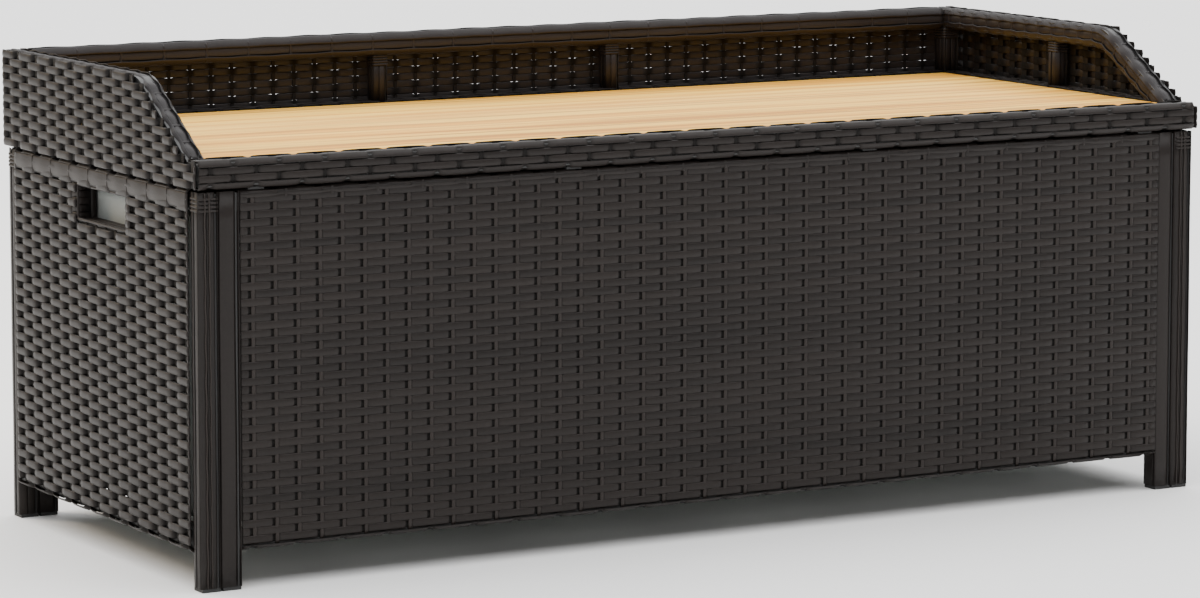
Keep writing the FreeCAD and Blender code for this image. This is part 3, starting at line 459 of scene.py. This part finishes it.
# Rows of strip along the spine, set side by side round the section. A row's height over the
# section is low + (high - low) smooth(x) + bow (1 - (1 - x)^2), x the distance from the stake it
# passes behind, as a share of the stake pitch, plus a slow ripple. plain leaves out the dips.
def weave(spine, section, facing, start, end, rows=None, runs=None, rises=None, look=weaveLook,
          plain=False):
    total = lineAt(section, np.zeros(1))[2]
    count = rows or max(1, round(total / look["rowPitch"]))
    pitch = total / count
    spots = (np.arange(count) + 0.5) * pitch
    places, ways, total = lineAt(section, spots)
    normals = facing * np.stack([ways[:, 1], -ways[:, 0]], -1)
    gaps = max(2, round((end - start) / look["stakePitch"]))
    stakePitch = (end - start) / gaps
    stakeSpots = start + (np.arange(gaps) + 0.5) * stakePitch
    knots = look["dip"] + look["rise"] * np.array(look["riseKnots"])
    knots = np.append(knots, (1 + knots[-1]) / 2)
    offsets = stakePitch * np.concatenate([[-1], -knots[::-1], knots])
    shape = flatSection(look["width"] * pitch / look["rowPitch"], look["thick"], look["crown"])
    strips = []
    for i in range(count):
        if plain:
            u = np.linspace(start, end, max(3, round((end - start) / weaveLook["plainStep"])))
        else:
            behind = stakeSpots[i % 2::2]
            behind = np.append(behind, [behind[0] - 2 * stakePitch, behind[-1] + 2 * stakePitch])
            u = np.sort((behind[:, None] + offsets).ravel())
        for low, high in (runs(places[i]) if runs else [(start, end)]):
            if high - low < weaveLook["shortest"]:
                continue
            inside = u[(u > low + weaveLook["endStep"]) & (u < high - weaveLook["endStep"])]
            along = np.concatenate([[low], inside, [high]])
            if len(along) < 3:
                along = np.linspace(low, high, 3)
            lift = np.ones(len(along))
            if plain:
                height = np.zeros(len(along))
            else:
                x = np.min(np.abs(along[:, None] - behind[None]), axis=1) / stakePitch
                lift = np.clip((x - look["dip"]) / look["rise"], 0, 1)
                lift = lift * lift * (3 - 2 * lift)
                bow = look["bow"] * random.uniform(*look["bowSpread"])
                height = look["low"] + (look["high"] - look["low"]) * lift
                height += bow * lift * (1 - (1 - np.clip(x, 0, 1)) ** 2)
            phase = random.uniform(0, 6.28, 2)
            height = height + look["ripple"] * np.sin(along * look["waves"][0] + phase[0])
            drift = look["wander"] * np.sin(along * look["waves"][1] + phase[1])
            centre, side, rise = spine(along)
            a = places[i, 0] + normals[i, 0] * height + ways[i, 0] * drift
            b = places[i, 1] + normals[i, 1] * height + ways[i, 1] * drift
            centre = centre + a[:, None] * side + b[:, None] * rise
            across = ways[i, 0] * side + ways[i, 1] * rise
            across = across * (1 - look["pinch"] * (1 - lift))[:, None]
            up = normals[i, 0] * side + normals[i, 1] * rise
            tangent = unit(np.gradient(centre, axis=0))
            up = unit(up - tangent * np.sum(up * tangent, -1, keepdims=True))
            # painted shade rises as the row dips behind its stake
            strips.append(layStrip(centre, across, up, shape, random.uniform(0, 1),
                                   hollow=look["hollow"] * (1 - lift)))
    if not plain:
        thin = flatSection(look["stakeWidth"], look["stakeThick"], look["stakeCrown"])
        for u in stakeSpots:
            for low, high in (rises(u) if rises else [(0.0, total)]):
                s = np.linspace(low, high, max(4, round((high - low) / look["stakeStep"])))
                way = lineAt(section, s)[1]
                turns = np.abs(np.diff(way, axis=0)).max(1) > 1e-4
                keep = np.arange(len(s)) % 4 == 0      # fewer points where the section is straight
                keep[:-1] |= turns
                keep[1:] |= turns
                keep[[0, -1]] = True
                s = s[keep]
                place, way, total = lineAt(section, s)
                normal = facing * np.stack([way[:, 1], -way[:, 0]], -1)
                centre, side, rise = spine(np.full(len(s), u + look["stakeShift"]))
                sunk = place + normal * look["stakeSunk"]
                centre = centre + sunk[:, :1] * side + sunk[:, 1:] * rise
                up = normal[:, :1] * side + normal[:, 1:] * rise
                way3 = unit(np.gradient(centre, axis=0))
                # painted tone: dark stakes stand for shade on most panels, light ones for a highlight on
                # the front and back
                strips.append(layStrip(centre, unit(np.cross(up, way3)), up, thin, look["stakeTint"],
                                       hollow=look["stakeHollow"]))
    return strips


# The (side, rise) line of a skin turned in over its two rails, from lip to lip.
def panelSection(outer, inner, low, high, lip):
    return roundedLine([(inner, low + lip), (inner, low), (outer, low), (outer, high), (inner, high),
                        (inner, high - lip)], panelLook["corner"])


# A rounded rectangle, its travel upwards on the facing side.
def loopSection(sideLow, sideHigh, riseLow, riseHigh, radius, facing):
    near, far = (sideHigh, sideLow) if facing > 0 else (sideLow, sideHigh)
    return roundedLine([(near, riseLow), (near, riseHigh), (far, riseHigh), (far, riseLow)], radius,
                       closed=True)


skin = weaveLook["skinMiddle"]
panelLook = {"lip": 0.021, "corner": 0.004, "endGap": 0.0005, "openingLap": 0.001}
bandLook = {"height": 0.0085, "sideHeight": 0.0205, "drop": 0.0012, "proud": 0.0006, "sideProud": 0.0034,
            "pitch": 0.057, "swell": 0.0008, "tie": 0.0032, "thick": 0.0012, "crown": 0.0007}


# Broad strips along a panel's top edge, height = swell (sin^2(pi u / pitch) - 1), tied by short
# upright strips.
def topBand(spine, across, rise, outer, facing, low, high, start, end):
    gaps = round((end - start) / bandLook["pitch"])
    step = (end - start) / gaps
    u = np.linspace(start, end, gaps * 8 + 1)
    height = bandLook["swell"] * (np.sin(np.pi * (u - start) / step) ** 2 - 1) + 0.0003
    centre, _, _ = spine(u)
    middle = centre + (outer + facing * height)[:, None] * across + rise * (low + high) / 2
    band = flatSection(high - low, bandLook["thick"], bandLook["crown"])
    strips = [layStrip(middle, rise, across * facing, band, 0.8)]
    z = np.linspace(low - 0.0004, high + 0.0002, 5)
    for u in start + np.arange(1, gaps) * step:
        centre, _, _ = spine(np.full(5, u))
        line = centre + (outer + facing * 0.0001) * across + z[:, None] * rise
        along = unit(np.cross(across * facing, rise))
        strips.append(layStrip(line, along, across * facing,
                               flatSection(bandLook["tie"], 0.0011, 0.0004), 1.0))
    return strips


# front and back panels, between their legs
for face, facing in (("front", -1), ("back", 1)):
    low, high = corners(face + "_weave")
    outer = (low[1] + skin) if facing < 0 else (high[1] - skin)
    inner = (high[1] - skin) if facing < 0 else (low[1] + skin)
    section = panelSection(outer, inner, low[2] + skin, high[2] - skin, panelLook["lip"])
    spine = straightSpine((0, 0, 0), xAxis, yAxis, zAxis)
    start, end = low[0] + panelLook["endGap"], high[0] - panelLook["endGap"]
    top = high[2] - bandLook["drop"]
    strips = weave(spine, section, facing, start, end, look=frontLook)
    strips += topBand(spine, yAxis, zAxis, outer + facing * bandLook["proud"], facing,
                      top - bandLook["height"], top, start, end)
    makePiece(face + "Weave", strips, "box", stripDark, (face + "_weave",))
print("front and back weaves laid")

# side panels, with the handle opening left out
for face, facing in (("left", -1), ("right", 1)):
    low, high = corners(face + "_weave")
    outer = (low[0] + skin) if facing < 0 else (high[0] - skin)
    inner = (high[0] - skin) if facing < 0 else (low[0] + skin)
    ringLow, ringHigh = corners(face + "_handle_binding")
    start, end = low[1] + panelLook["endGap"], high[1] - panelLook["endGap"]

    # A row's runs from start to end, stopped at the handle opening.
    def sideRuns(place, ringLow=ringLow, ringHigh=ringHigh, start=start, end=end):
        lap = panelLook["openingLap"]
        if ringLow[2] + lap < place[1] < ringHigh[2] - lap:
            return [(start, ringLow[1] + lap), (ringHigh[1] - lap, end)]
        return [(start, end)]

    section = panelSection(outer, inner, low[2] + skin, high[2] - skin, panelLook["lip"])
    lengths = np.concatenate([[0], np.cumsum(np.linalg.norm(np.diff(section, axis=0), axis=1))])
    front = np.abs(section[:, 0] - outer) < 1e-5
    riseStart = lengths[front][0] - section[front][0, 1]

    # A stake's runs round the section, stopped at the handle opening.
    def sideRises(u, ringLow=ringLow, ringHigh=ringHigh, total=lengths[-1], zero=riseStart):
        if ringLow[1] < u < ringHigh[1]:
            return [(0.0, zero + ringLow[2]), (zero + ringHigh[2], total)]
        return [(0.0, total)]

    spine = straightSpine((0, 0, 0), yAxis, xAxis, zAxis)
    strips = weave(spine, section, facing, start, end, runs=sideRuns, rises=sideRises, look=sideLook)
    top = high[2] - bandLook["drop"]
    strips += topBand(spine, xAxis, zAxis, outer + facing * bandLook["sideProud"], facing,
                      top - bandLook["sideHeight"], top, start, end)
    makePiece(face + "Weave", strips, "box", stripDark, (face + "_weave",))
print("side weaves laid")

handleLook = {"rows": 3, "rowThick": 0.0016, "bead": 0.0019, "corner": 0.004, "wrapPitch": 0.009,
              "wrapWidth": 0.0086, "wrapReach": 0.011, "wrapInside": 0.014, "wrapLift": 0.0012}

for face, facing in (("left", -1), ("right", 1)):
    low, high = corners(face + "_handle_binding")
    outer = low[0] if facing < 0 else high[0]
    ring = roundedLine([(low[1] + skin, low[2] + skin), (high[1] - skin, low[2] + skin),
                        (high[1] - skin, high[2] - skin), (low[1] + skin, high[2] - skin)],
                       handleLook["corner"], closed=True)[:-1]
    ring3 = np.concatenate([np.zeros((len(ring), 1)), ring], 1)
    middle = ring3.mean(0)
    ahead = unit(np.roll(ring3, -1, 0) - np.roll(ring3, 1, 0))
    inward = unit(np.cross(ahead, xAxis))
    inward *= np.sign(np.sum((middle - ring3) * inward, -1, keepdims=True))
    strips = []
    depth = (high[0] - low[0]) / handleLook["rows"]
    for i in range(handleLook["rows"]):
        place = ring3 + xAxis * (outer - facing * depth * (i + 0.5))
        shape = flatSection(depth * 0.97, handleLook["rowThick"], 0.0004)
        strips.append(layStrip(place, xAxis, inward, shape, random.uniform(0, 1), True))
    bead = ring3 + xAxis * (outer - facing * 0.0008)
    strips.append(layStrip(bead, xAxis, inward, roundSection(handleLook["bead"]), 0.6, True))
    for edge, way in ((low[1] + skin, -1), (high[1] - skin, 1)):
        count = round((high[2] - low[2]) / handleLook["wrapPitch"])
        for z in low[2] + (np.arange(count) + 0.5) * (high[2] - low[2]) / count:
            reach, over = handleLook["wrapReach"], -handleLook["wrapLift"]
            line = roundedLine([(facing * 0.002, reach), (facing * over, 0.004), (facing * over, over),
                                (facing * -handleLook["wrapInside"], over)], 0.002)
            place = np.stack([outer + line[:, 0], edge + way * line[:, 1], np.full(len(line), z)], -1)
            place[:, 0] -= facing * 0.0002
            way3 = unit(np.gradient(place, axis=0))
            up = unit(np.cross(way3, zAxis))
            up *= np.sign(up[0, 0] * facing)
            strips.append(layStrip(place, zAxis, up, flatSection(handleLook["wrapWidth"], 0.0011, 0.0003),
                                   random.uniform(0, 1)))
    makePiece(face + "HandleBinding", strips, "box", stripDark, (face + "_handle_binding",))
print("handle openings bound")

# legs: strips laid lengthwise, bound near the top

legLook = {"cornerRows": 8, "panelRows": 4, "radius": 0.004, "cord": 0.0011,
           "bindings": (0.447, 0.4425, 0.438, 0.4335),       # heights of the rings
           "cordPlaces": (0.30, 0.52), "endGap": 0.0005, "cordGap": 0.001}


# A square post sheathed in lengthwise strips, with thin rings round it at the given heights.
def boundPost(x, y, low, high, rows, bindings, cord, radius):
    spine = straightSpine((0, 0, 0), zAxis, xAxis, yAxis)
    section = loopSection(x[0] + skin, x[1] - skin, y[0] + skin, y[1] - skin, radius, 1)
    strips = weave(spine, section, 1, low, high, rows=rows, plain=True)
    ring = roundedLine([(x[0] + 0.0004, y[0] + 0.0004), (x[1] - 0.0004, y[0] + 0.0004),
                        (x[1] - 0.0004, y[1] - 0.0004), (x[0] + 0.0004, y[1] - 0.0004)], radius,
                       closed=True)[:-1]
    for z in bindings:
        loop = np.concatenate([ring, np.full((len(ring), 1), z)], 1)
        ahead = unit(np.roll(loop, -1, 0) - np.roll(loop, 1, 0))
        strips.append(layStrip(loop, np.cross(ahead, zAxis), zAxis,
                               roundSection(cord, 6) * (1, 1.5), random.uniform(0.5, 1), True))
    return strips


# Cords laid down a leg's outer face at shares of its width, x = share + 0.0004 sin(140 z + 9 share). They
# stand proud to catch the light, and their colour is pushed to the lightest strip tone, a painted
# highlight.
def legCords(x, y, low, high, facing):
    z = np.linspace(low, high, 60)
    cords = []
    for share in legLook["cordPlaces"]:
        shift = 0.0004 * np.sin(z * 140 + 9 * share)
        line = np.stack([x[0] + (x[1] - x[0]) * share + shift, np.full(len(z), y) + facing * 0.0002, z], -1)
        cords.append(layStrip(line, xAxis, yAxis, roundSection(legLook["cord"], 8), 2.0))
    return cords


frontLow, frontHigh = corners("front_weave")
leftLow, leftHigh = corners("left_weave")
wrapLow, wrapHigh = corners("leg_wraps")
legWidth = leftHigh[0] - leftLow[0]
sideX = (wrapHigh[0] - legWidth, wrapHigh[0])
panelX = (frontHigh[0], frontHigh[0] + legWidth)
strips = []
for spanX in (sideX, panelX):
    for side in (-1, 1):
        for facing in (-1, 1):
            x = sorted((side * spanX[0], side * spanX[1]))
            y = sorted((facing * (wrapHigh[1] - legWidth), facing * wrapHigh[1]))
            bindings = legLook["bindings"] if spanX is sideX else ()
            rows = legLook["cornerRows"] if spanX is sideX else legLook["panelRows"]
            strips += boundPost(x, y, wrapLow[2], wrapHigh[2] - legLook["endGap"], rows, bindings,
                                legLook["cord"], legLook["radius"])
            if spanX is sideX:
                strips += legCords(x, y[0] if facing < 0 else y[1], wrapLow[2] + legLook["cordGap"],
                                   wrapHigh[2] - legLook["cordGap"], facing)
makePiece("legWraps", strips, "box", stripDark, ("leg_wraps",))
print("legs wrapped")

# lid: rim, rails and posts

rimLook = dict(weaveLook, low=-0.0016, bow=0.0007, wander=0.0002, dip=0.03, rise=0.2, hollow=0.7)

railBind = {"pitch": 0.057, "width": 0.0034, "thick": 0.0011, "proud": 0.0009, "swell": 0.0011, "rows": 8}


# Strips laid lengthwise, height = swell sin^2(pi u / pitch) - swell, held by narrow rings.
def boundRail(spine, section, facing, start, end, look):
    total = lineAt(section, np.zeros(1))[2]
    pitch = total / look["rows"]
    places, ways, total = lineAt(section, (np.arange(look["rows"]) + 0.5) * pitch)
    normals = facing * np.stack([ways[:, 1], -ways[:, 0]], -1)
    gaps = round((end - start) / look["pitch"])
    step = (end - start) / gaps
    u = np.linspace(start, end, gaps * 8 + 1)
    wave = np.sin(np.pi * (u - start) / step) ** 2
    centre, side, rise = spine(u)
    strips = []
    for place, way, normal in zip(places, ways, normals):
        height = look["swell"] * (wave - 1) + 0.00025 * np.sin(u * 29 + random.uniform(0, 6))
        out = place + normal * height[:, None]
        across = way[0] * side + way[1] * rise
        up = normal[0] * side + normal[1] * rise
        strips.append(layStrip(centre + out[:, :1] * side + out[:, 1:] * rise, across, up,
                               flatSection(pitch * 1.10, 0.0012, 0.0007), random.uniform(0.2, 1)))
    s = np.linspace(0, total, 33)[:-1]
    place, way, total = lineAt(section, s)
    normal = facing * np.stack([way[:, 1], -way[:, 0]], -1)
    for u in start + np.arange(1, gaps) * step:
        lean = random.uniform(-0.0012, 0.0012)
        centre, side, rise = spine(u + lean * np.sin(2 * np.pi * s / total))
        out = place + normal * (look["proud"] - look["swell"])
        points = centre + out[:, :1] * side + out[:, 1:] * rise
        up = normal[:, :1] * side + normal[:, 1:] * rise
        ahead = unit(np.roll(points, -1, 0) - np.roll(points, 1, 0))
        strips.append(layStrip(points, unit(np.cross(up, ahead)), up,
                               flatSection(look["width"], look["thick"], 0.0005), 0.8, True))
    return strips


rimWrap = {"corner": 0.005, "endGap": 0.0003}
lidStrips = {"front_rim_wrap": (xAxis, yAxis, zAxis, -1), "back_rim_wrap": (xAxis, yAxis, zAxis, 1),
             "left_rim_wrap": (yAxis, xAxis, zAxis, -1), "right_rim_wrap": (yAxis, xAxis, zAxis, 1),
             "back_rail_wrap": (xAxis, yAxis, zAxis, 1)}
for node, (along, side, rise, facing) in lidStrips.items():
    low, high = corners(node)
    spine = straightSpine((0, 0, 0), along, side, rise)
    s0, s1 = low @ side, high @ side
    r0, r1 = low @ rise, high @ rise
    section = loopSection(s0 + skin, s1 - skin, r0 + skin, r1 - skin, rimWrap["corner"], facing)
    ends = (low @ along + rimWrap["endGap"], high @ along - rimWrap["endGap"])
    if "rail" in node:
        strips = boundRail(spine, section, facing, *ends, railBind)
    else:
        strips = weave(spine, section, facing, *ends, look=rimLook)
    words = node.split("_")
    makePiece(words[0] + "".join(w.capitalize() for w in words[1:]), strips, "lid",
              stripShadeLifted if "rail" in node else stripDark, (node,))
print("rims wrapped")

armBind = dict(railBind, pitch=0.031, swell=0.0017, width=0.0042, rows=8)
armLook = {"slopeFoot": 0.030, "knee": 0.135, "kneeRound": 0.026, "railDrop": 0.027, "railCorner": 0.006}
lidLow, lidHigh = corners("backrest_weave")
boxHeight = lidHigh[2]
rimTop = corners("front_rim_wrap")[1][2]
frontEdge = corners("front_rim_wrap")[0][1]
footY = frontEdge + armLook["slopeFoot"]
kneeY = footY + armLook["knee"]
topLine = roundedLine([(footY, rimTop), (kneeY, boxHeight), (lidHigh[1], boxHeight)],
                      armLook["kneeRound"], 9)

for face, facing in (("left", -1), ("right", 1)):
    low, high = corners(face + "_arm_weave")
    outer = (low[0] + skin) if facing < 0 else (high[0] - skin)
    section = np.array([(outer, low[2] + 0.0006), (outer, high[2] - 0.0006)])

    # A row's run, its front end on the slope of the arm.
    def armRuns(place, end=high[1] - 0.0005):
        if place[1] < rimTop - 0.001:
            return [(frontEdge + 0.0005, end)]
        start = np.interp(place[1] + 0.002, topLine[:, 1][:12], topLine[:, 0][:12])
        return [(start, end)]

    # A stake's run up to the arm's upper edge.
    def armRises(u, low=low, high=high):
        if u < footY:
            return [(0.0, rimTop - low[2] - 0.001)]
        return [(0.0, np.interp(u, topLine[:, 0], topLine[:, 1]) - low[2] - 0.002)]

    spine = straightSpine((0, 0, 0), yAxis, xAxis, zAxis)
    strips = weave(spine, section, facing, frontEdge, high[1], runs=armRuns, rises=armRises,
                   look=armWeaveLook)
    makePiece(face + "ArmWeave", strips, "lid", stripDark, (face + "_arm_weave",))

    low, high = corners(face + "_arm_rail_wrap")
    section = loopSection(low[0] + skin, high[0] - skin, -armLook["railDrop"] + skin, -skin,
                          armLook["railCorner"], facing)
    total = lineAt(topLine, np.zeros(1))[2]
    spine = bentSpine(topLine, xAxis)
    strips = boundRail(spine, section, facing, 0.004, total - 0.003, armBind)
    makePiece(face + "ArmRailWrap", strips, "lid", stripShadeLifted, (face + "_arm_rail_wrap",))

low, high = corners("backrest_weave")
section = np.array([(high[1] - skin, low[2] + 0.0006), (high[1] - skin, high[2] - 0.0006)])
spine = straightSpine((0, 0, 0), xAxis, yAxis, zAxis)
strips = weave(spine, section, 1, low[0], high[0], look=backLook)
makePiece("backrestWeave", strips, "lid", stripShadeLifted, ("backrest_weave",))
print("backrest and arms woven")

postLook = {"rows": 8, "radius": 0.003, "cord": 0.0011, "top": (0.0020, 0.0055, 0.0090, 0.0125),
            "places": (-0.188, 0.150), "armPlace": 0.005, "half": 0.0105, "depth": 0.0185,
            "corner": 0.0245, "cornerRows": 10, "foot": 0.002}
postLow, postHigh = corners("post_wraps")
strips = []
bindings = [postHigh[2] - t for t in postLook["top"]]
foot = postLow[2] - postLook["foot"]
for x in postLook["places"]:
    strips += boundPost((x - postLook["half"], x + postLook["half"]),
                        (postHigh[1] - postLook["depth"], postHigh[1]), foot, postHigh[2],
                        postLook["rows"], bindings, postLook["cord"], postLook["radius"])
for side in (-1, 1):
    x = sorted((side * (postHigh[0] - postLook["depth"]), side * postHigh[0]))
    y = (postLook["armPlace"] - postLook["half"], postLook["armPlace"] + postLook["half"])
    strips += boundPost(x, y, foot, postHigh[2], postLook["rows"], bindings, postLook["cord"],
                        postLook["radius"])
    x = sorted((side * (postHigh[0] - postLook["corner"]), side * postHigh[0]))
    y = (postHigh[1] - postLook["corner"], postHigh[1])
    strips += boundPost(x, y, foot, postHigh[2], postLook["cornerRows"], bindings, postLook["cord"],
                        postLook["radius"])
makePiece("postWraps", strips, "lid", stripShadeLifted, ("post_wraps",))
print("posts wrapped")

# seat boards

boardLook = {"edge": 0.0016, "tints": (0.15, 0.62, 0.38, 0.85)}


# Rounded rectangle about its centre, anticlockwise.
def boardSection(width, thick, radius):
    line = roundedLine([(-width / 2, -thick / 2), (width / 2, -thick / 2), (width / 2, thick / 2),
                        (-width / 2, thick / 2)], radius, 4, closed=True)
    return line[:-1]


for i in range(4):
    low, high = corners("seat_board_%d" % (i + 1))
    width, thick = high[1] - low[1], high[2] - low[2]
    edge = boardLook["edge"]
    x = np.array([low[0], low[0] + 0.3 * edge, low[0] + edge, 0, high[0] - edge, high[0] - 0.3 * edge,
                  high[0]])
    inset = np.array([edge, 0.3 * edge, 0, 0, 0, 0.3 * edge, edge])
    outline = boardSection(width, thick, edge)
    shrink = 1 - 2 * inset[:, None] / np.array([width, thick])
    points = np.zeros((len(x), len(outline), 3))
    points[:, :, 0] = x[:, None]
    points[:, :, 1] = (low[1] + high[1]) / 2 + outline[None, :, 0] * shrink[:, :1]
    points[:, :, 2] = (low[2] + high[2]) / 2 + outline[None, :, 1] * shrink[:, 1:]
    strip = {"points": points, "tint": boardLook["tints"][i], "ring": False}
    makePiece("seatBoard%d" % (i + 1), [strip], "lid", finishes["seat_wood"],
              ("seat_board_%d" % (i + 1),), smooth=False)
print("boards laid")

# liner: a fabric bag hung from tabs, sagging a little between them

tabLook = {"width": 0.030, "thick": 0.0007, "places": (-0.48, -0.16, 0.16, 0.48)}
linerLook = {"corner": 0.010, "cells": 0.011, "sag": 0.009, "fold": 0.004, "wall": 0.0012,
             "slack": 0.004, "belly": 0.003, "floorWave": 0.0012, "inset": 0.0008}


# Walls and floor as one sheet: p(s, t) goes round a rounded rectangle of half sizes (a, b) with
# s, down the wall with t up to 1, then in to the middle line of the floor with t up to 2.
def linerMesh(name):
    low, high = corners("liner_bag")
    a, b = high[0] - linerLook["inset"], high[1] - linerLook["inset"]
    outline = roundedLine([(-a, -b), (a, -b), (a, b), (-a, b)], linerLook["corner"], 6, closed=True)
    run = lineAt(outline, np.zeros(1))[2]
    count = round(run / linerLook["cells"])
    ring, way, total = lineAt(outline, np.linspace(0, run, count, endpoint=False))
    inward = np.stack([-way[:, 1], way[:, 0]], -1)
    depth = high[2] - low[2]
    wall = np.linspace(0, 1, 26)
    floor = np.linspace(0, 1, 16)[1:]
    grid = np.zeros((len(wall) + len(floor), count, 3))
    tabs = np.array(tabLook["places"])
    near = np.min(np.abs(ring[:, :1] - tabs[None]), axis=1)
    slack = np.clip(near / 0.16, 0, 1)
    slack = np.where(np.abs(ring[:, 1]) > b - 0.02, slack ** 2 * (3 - 2 * slack), 1.0)
    ends = np.clip((np.abs(ring[:, 0]) - (a - 0.045)) / 0.02, 0, 1)
    ripple = 0.5 + 0.5 * np.sin(ring[:, 0] * 41 + ring[:, 1] * 57 + 1.3 * np.sin(ring[:, 0] * 17))
    clear = 1 - ends
    for j, t in enumerate(wall):
        fall = np.exp(-4 * t)
        belly = linerLook["belly"] * np.sin(np.pi * t)
        push = (linerLook["fold"] * ripple * fall + linerLook["slack"] * slack * fall * (1 - t)
                + belly * (0.5 + 0.5 * np.sin(ring[:, 0] * 13 + 5 * t))) * clear
        grid[j, :, :2] = ring + inward * push[:, None]
        sag = linerLook["sag"] * slack * (1 - ends) * (1 - t) ** 3
        grid[j, :, 2] = high[2] - 0.0005 - depth * t - sag
    grid[len(wall) - 1, :, 2] = low[2] + 0.001
    spread = a - b
    line = np.stack([np.clip(ring[:, 0], -spread, spread), np.zeros(count)], -1)
    for j, t in enumerate(floor):
        row = len(wall) + j
        grid[row, :, :2] = ring * (1 - t) + line * t
        wave = linerLook["floorWave"] * (1 + np.sin(grid[row, :, 0] * 23 + grid[row, :, 1] * 31))
        grid[row, :, 2] = low[2] + 0.001 + wave * min(1, 4 * t)
    rows = len(grid)
    index = np.arange(rows * count).reshape(rows, count)
    across = np.roll(index, -1, axis=1)
    quads = np.stack([index[:-1], across[:-1], across[1:], index[1:]], -1).reshape(-1, 4)
    mesh = bpy.data.meshes.new(name)
    mesh.from_pydata(grid.reshape(-1, 3).tolist(), [], quads.tolist())
    mesh.update()
    return mesh


mesh = linerMesh("linerBag")
work = bmesh.new()
work.from_mesh(mesh)
bmesh.ops.remove_doubles(work, verts=work.verts, dist=0.0002)
bmesh.ops.holes_fill(work, edges=[e for e in work.edges if e.is_boundary and e.verts[0].co.z < 0.2])
bmesh.ops.recalc_face_normals(work, faces=work.faces)
middle = [f for f in work.faces if abs(f.calc_center_median().x) < 0.3 and f.calc_center_median().z < 0.1]
if sum(f.normal.z * f.calc_area() for f in middle) > 0:
    bmesh.ops.reverse_faces(work, faces=work.faces)
work.to_mesh(mesh)
work.free()
mesh.polygons.foreach_set("use_smooth", np.full(len(mesh.polygons), True))
linerArea = sum(p.area for p in mesh.polygons)
bag = placePiece("linerBag", mesh, "box", finishes["liner_fabric"], ("liner_bag",))
wallMod = bag.modifiers.new("wall", "SOLIDIFY")
wallMod.thickness = linerLook["wall"]
wallMod.offset = -1
print("liner hung, area", round(linerArea, 3))

tabLow, tabHigh = corners("liner_tabs")
half, thin = tabLook["width"] / 2, tabLook["thick"] / 2
strips = []
for facing in (-1, 1):
    y = facing * (tabHigh[1] - 0.0005)
    for x in tabLook["places"]:
        z = np.linspace(tabLow[2], tabHigh[2], 7)
        line = np.stack([np.full(7, x), np.full(7, y) - facing * 0.0001 * np.sin(z * 300), z], -1)
        strips.append(layStrip(line, xAxis, yAxis * facing,
                               np.array([(half, -thin), (half, thin), (-half, thin), (-half, -thin)]),
                               0.5))
tabs = makePiece("linerTabs", strips, "box", finishes["liner_fabric"], ("liner_tabs",),
                 smooth=False)
print("tabs sewn on")

# finishes for the parts that stay as they are

for node, thing in frame["nodes"].items():
    for entry in frame["record"]["materials"]:
        if node in entry.get("nodes", []):
            thing.data.materials.clear()
            thing.data.materials.append(finishes[entry["slot"]])
print("hardware finished")

# floor, light and camera

stageLook = {"floor": (0.90, 0.90, 0.895), "world": 0.22, "half": 40.0}


# A flat square floor, z = 0 everywhere.
def makeFloor():
    half = stageLook["half"]
    mesh = bpy.data.meshes.new("studioFloor")
    mesh.from_pydata([(-half, -half, -0.0002), (half, -half, -0.0002), (half, half, -0.0002),
                      (-half, half, -0.0002)], [], [(0, 1, 2, 3)])
    floor = bpy.data.objects.new("studioFloor", mesh)
    bpy.context.scene.collection.objects.link(floor)
    f = Finish("studioPaper", Roughness=0.85)
    place = f.node("ShaderNodeTexCoord").outputs["Object"]
    f.wire("Base Color", f.ramp(f.noise(place, 0.6, 2.0), [(0.3, stageLook["floor"]),
                                                          (0.7, (0.92, 0.92, 0.915))]))
    mesh.materials.append(f.material)


makeFloor()

world = bpy.data.worlds.new("studio")
bpy.context.scene.world = world
world.use_nodes = True
background = world.node_tree.nodes["Background"]
background.inputs["Color"].default_value = (1.0, 1.0, 1.0, 1)
background.inputs["Strength"].default_value = stageLook["world"]


# An area light at a place, turned to its target.
def softLight(name, place, target, size, power, colour=(1, 1, 1)):
    data = bpy.data.lights.new(name, "AREA")
    data.shape = "RECTANGLE"
    data.size, data.size_y = size
    data.energy = power
    data.color = colour
    lamp = bpy.data.objects.new(name, data)
    bpy.context.scene.collection.objects.link(lamp)
    lamp.location = place
    lamp.rotation_euler = (Vector(target) - Vector(place)).to_track_quat("-Z", "Y").to_euler()


softLight("sideSoftbox", (-2.9, 2.9, 1.9), (-0.7, 0, 0.3), (1.1, 1.1), 52, (1.0, 0.76, 0.46))
softLight("ceiling", (2.0, 5.0, 14.0), (2.0, 5.001, 0.0), (40.0, 44.0), 17500)
softLight("frontFill", (-3.4, -6.4, 1.9), (0, 0, 0.3), (1.6, 1.6), 48, (1.0, 0.95, 0.93))

cameraLook = {"place": (-2.854, -5.005, 1.062), "yaw": 29.57, "pitch": 6.51, "lens": 140.2, "shift": -0.1}
cameraData = bpy.data.cameras.new("camera")
cameraData.lens = cameraLook["lens"]
cameraData.sensor_width = 36
cameraData.shift_y = cameraLook["shift"]
cameraData.clip_end = 60
camera = bpy.data.objects.new("camera", cameraData)
camera.location = cameraLook["place"]
camera.rotation_euler = (math.radians(90 - cameraLook["pitch"]), 0, math.radians(-cameraLook["yaw"]))
bpy.context.scene.collection.objects.link(camera)
bpy.context.scene.camera = camera
print("stage set")
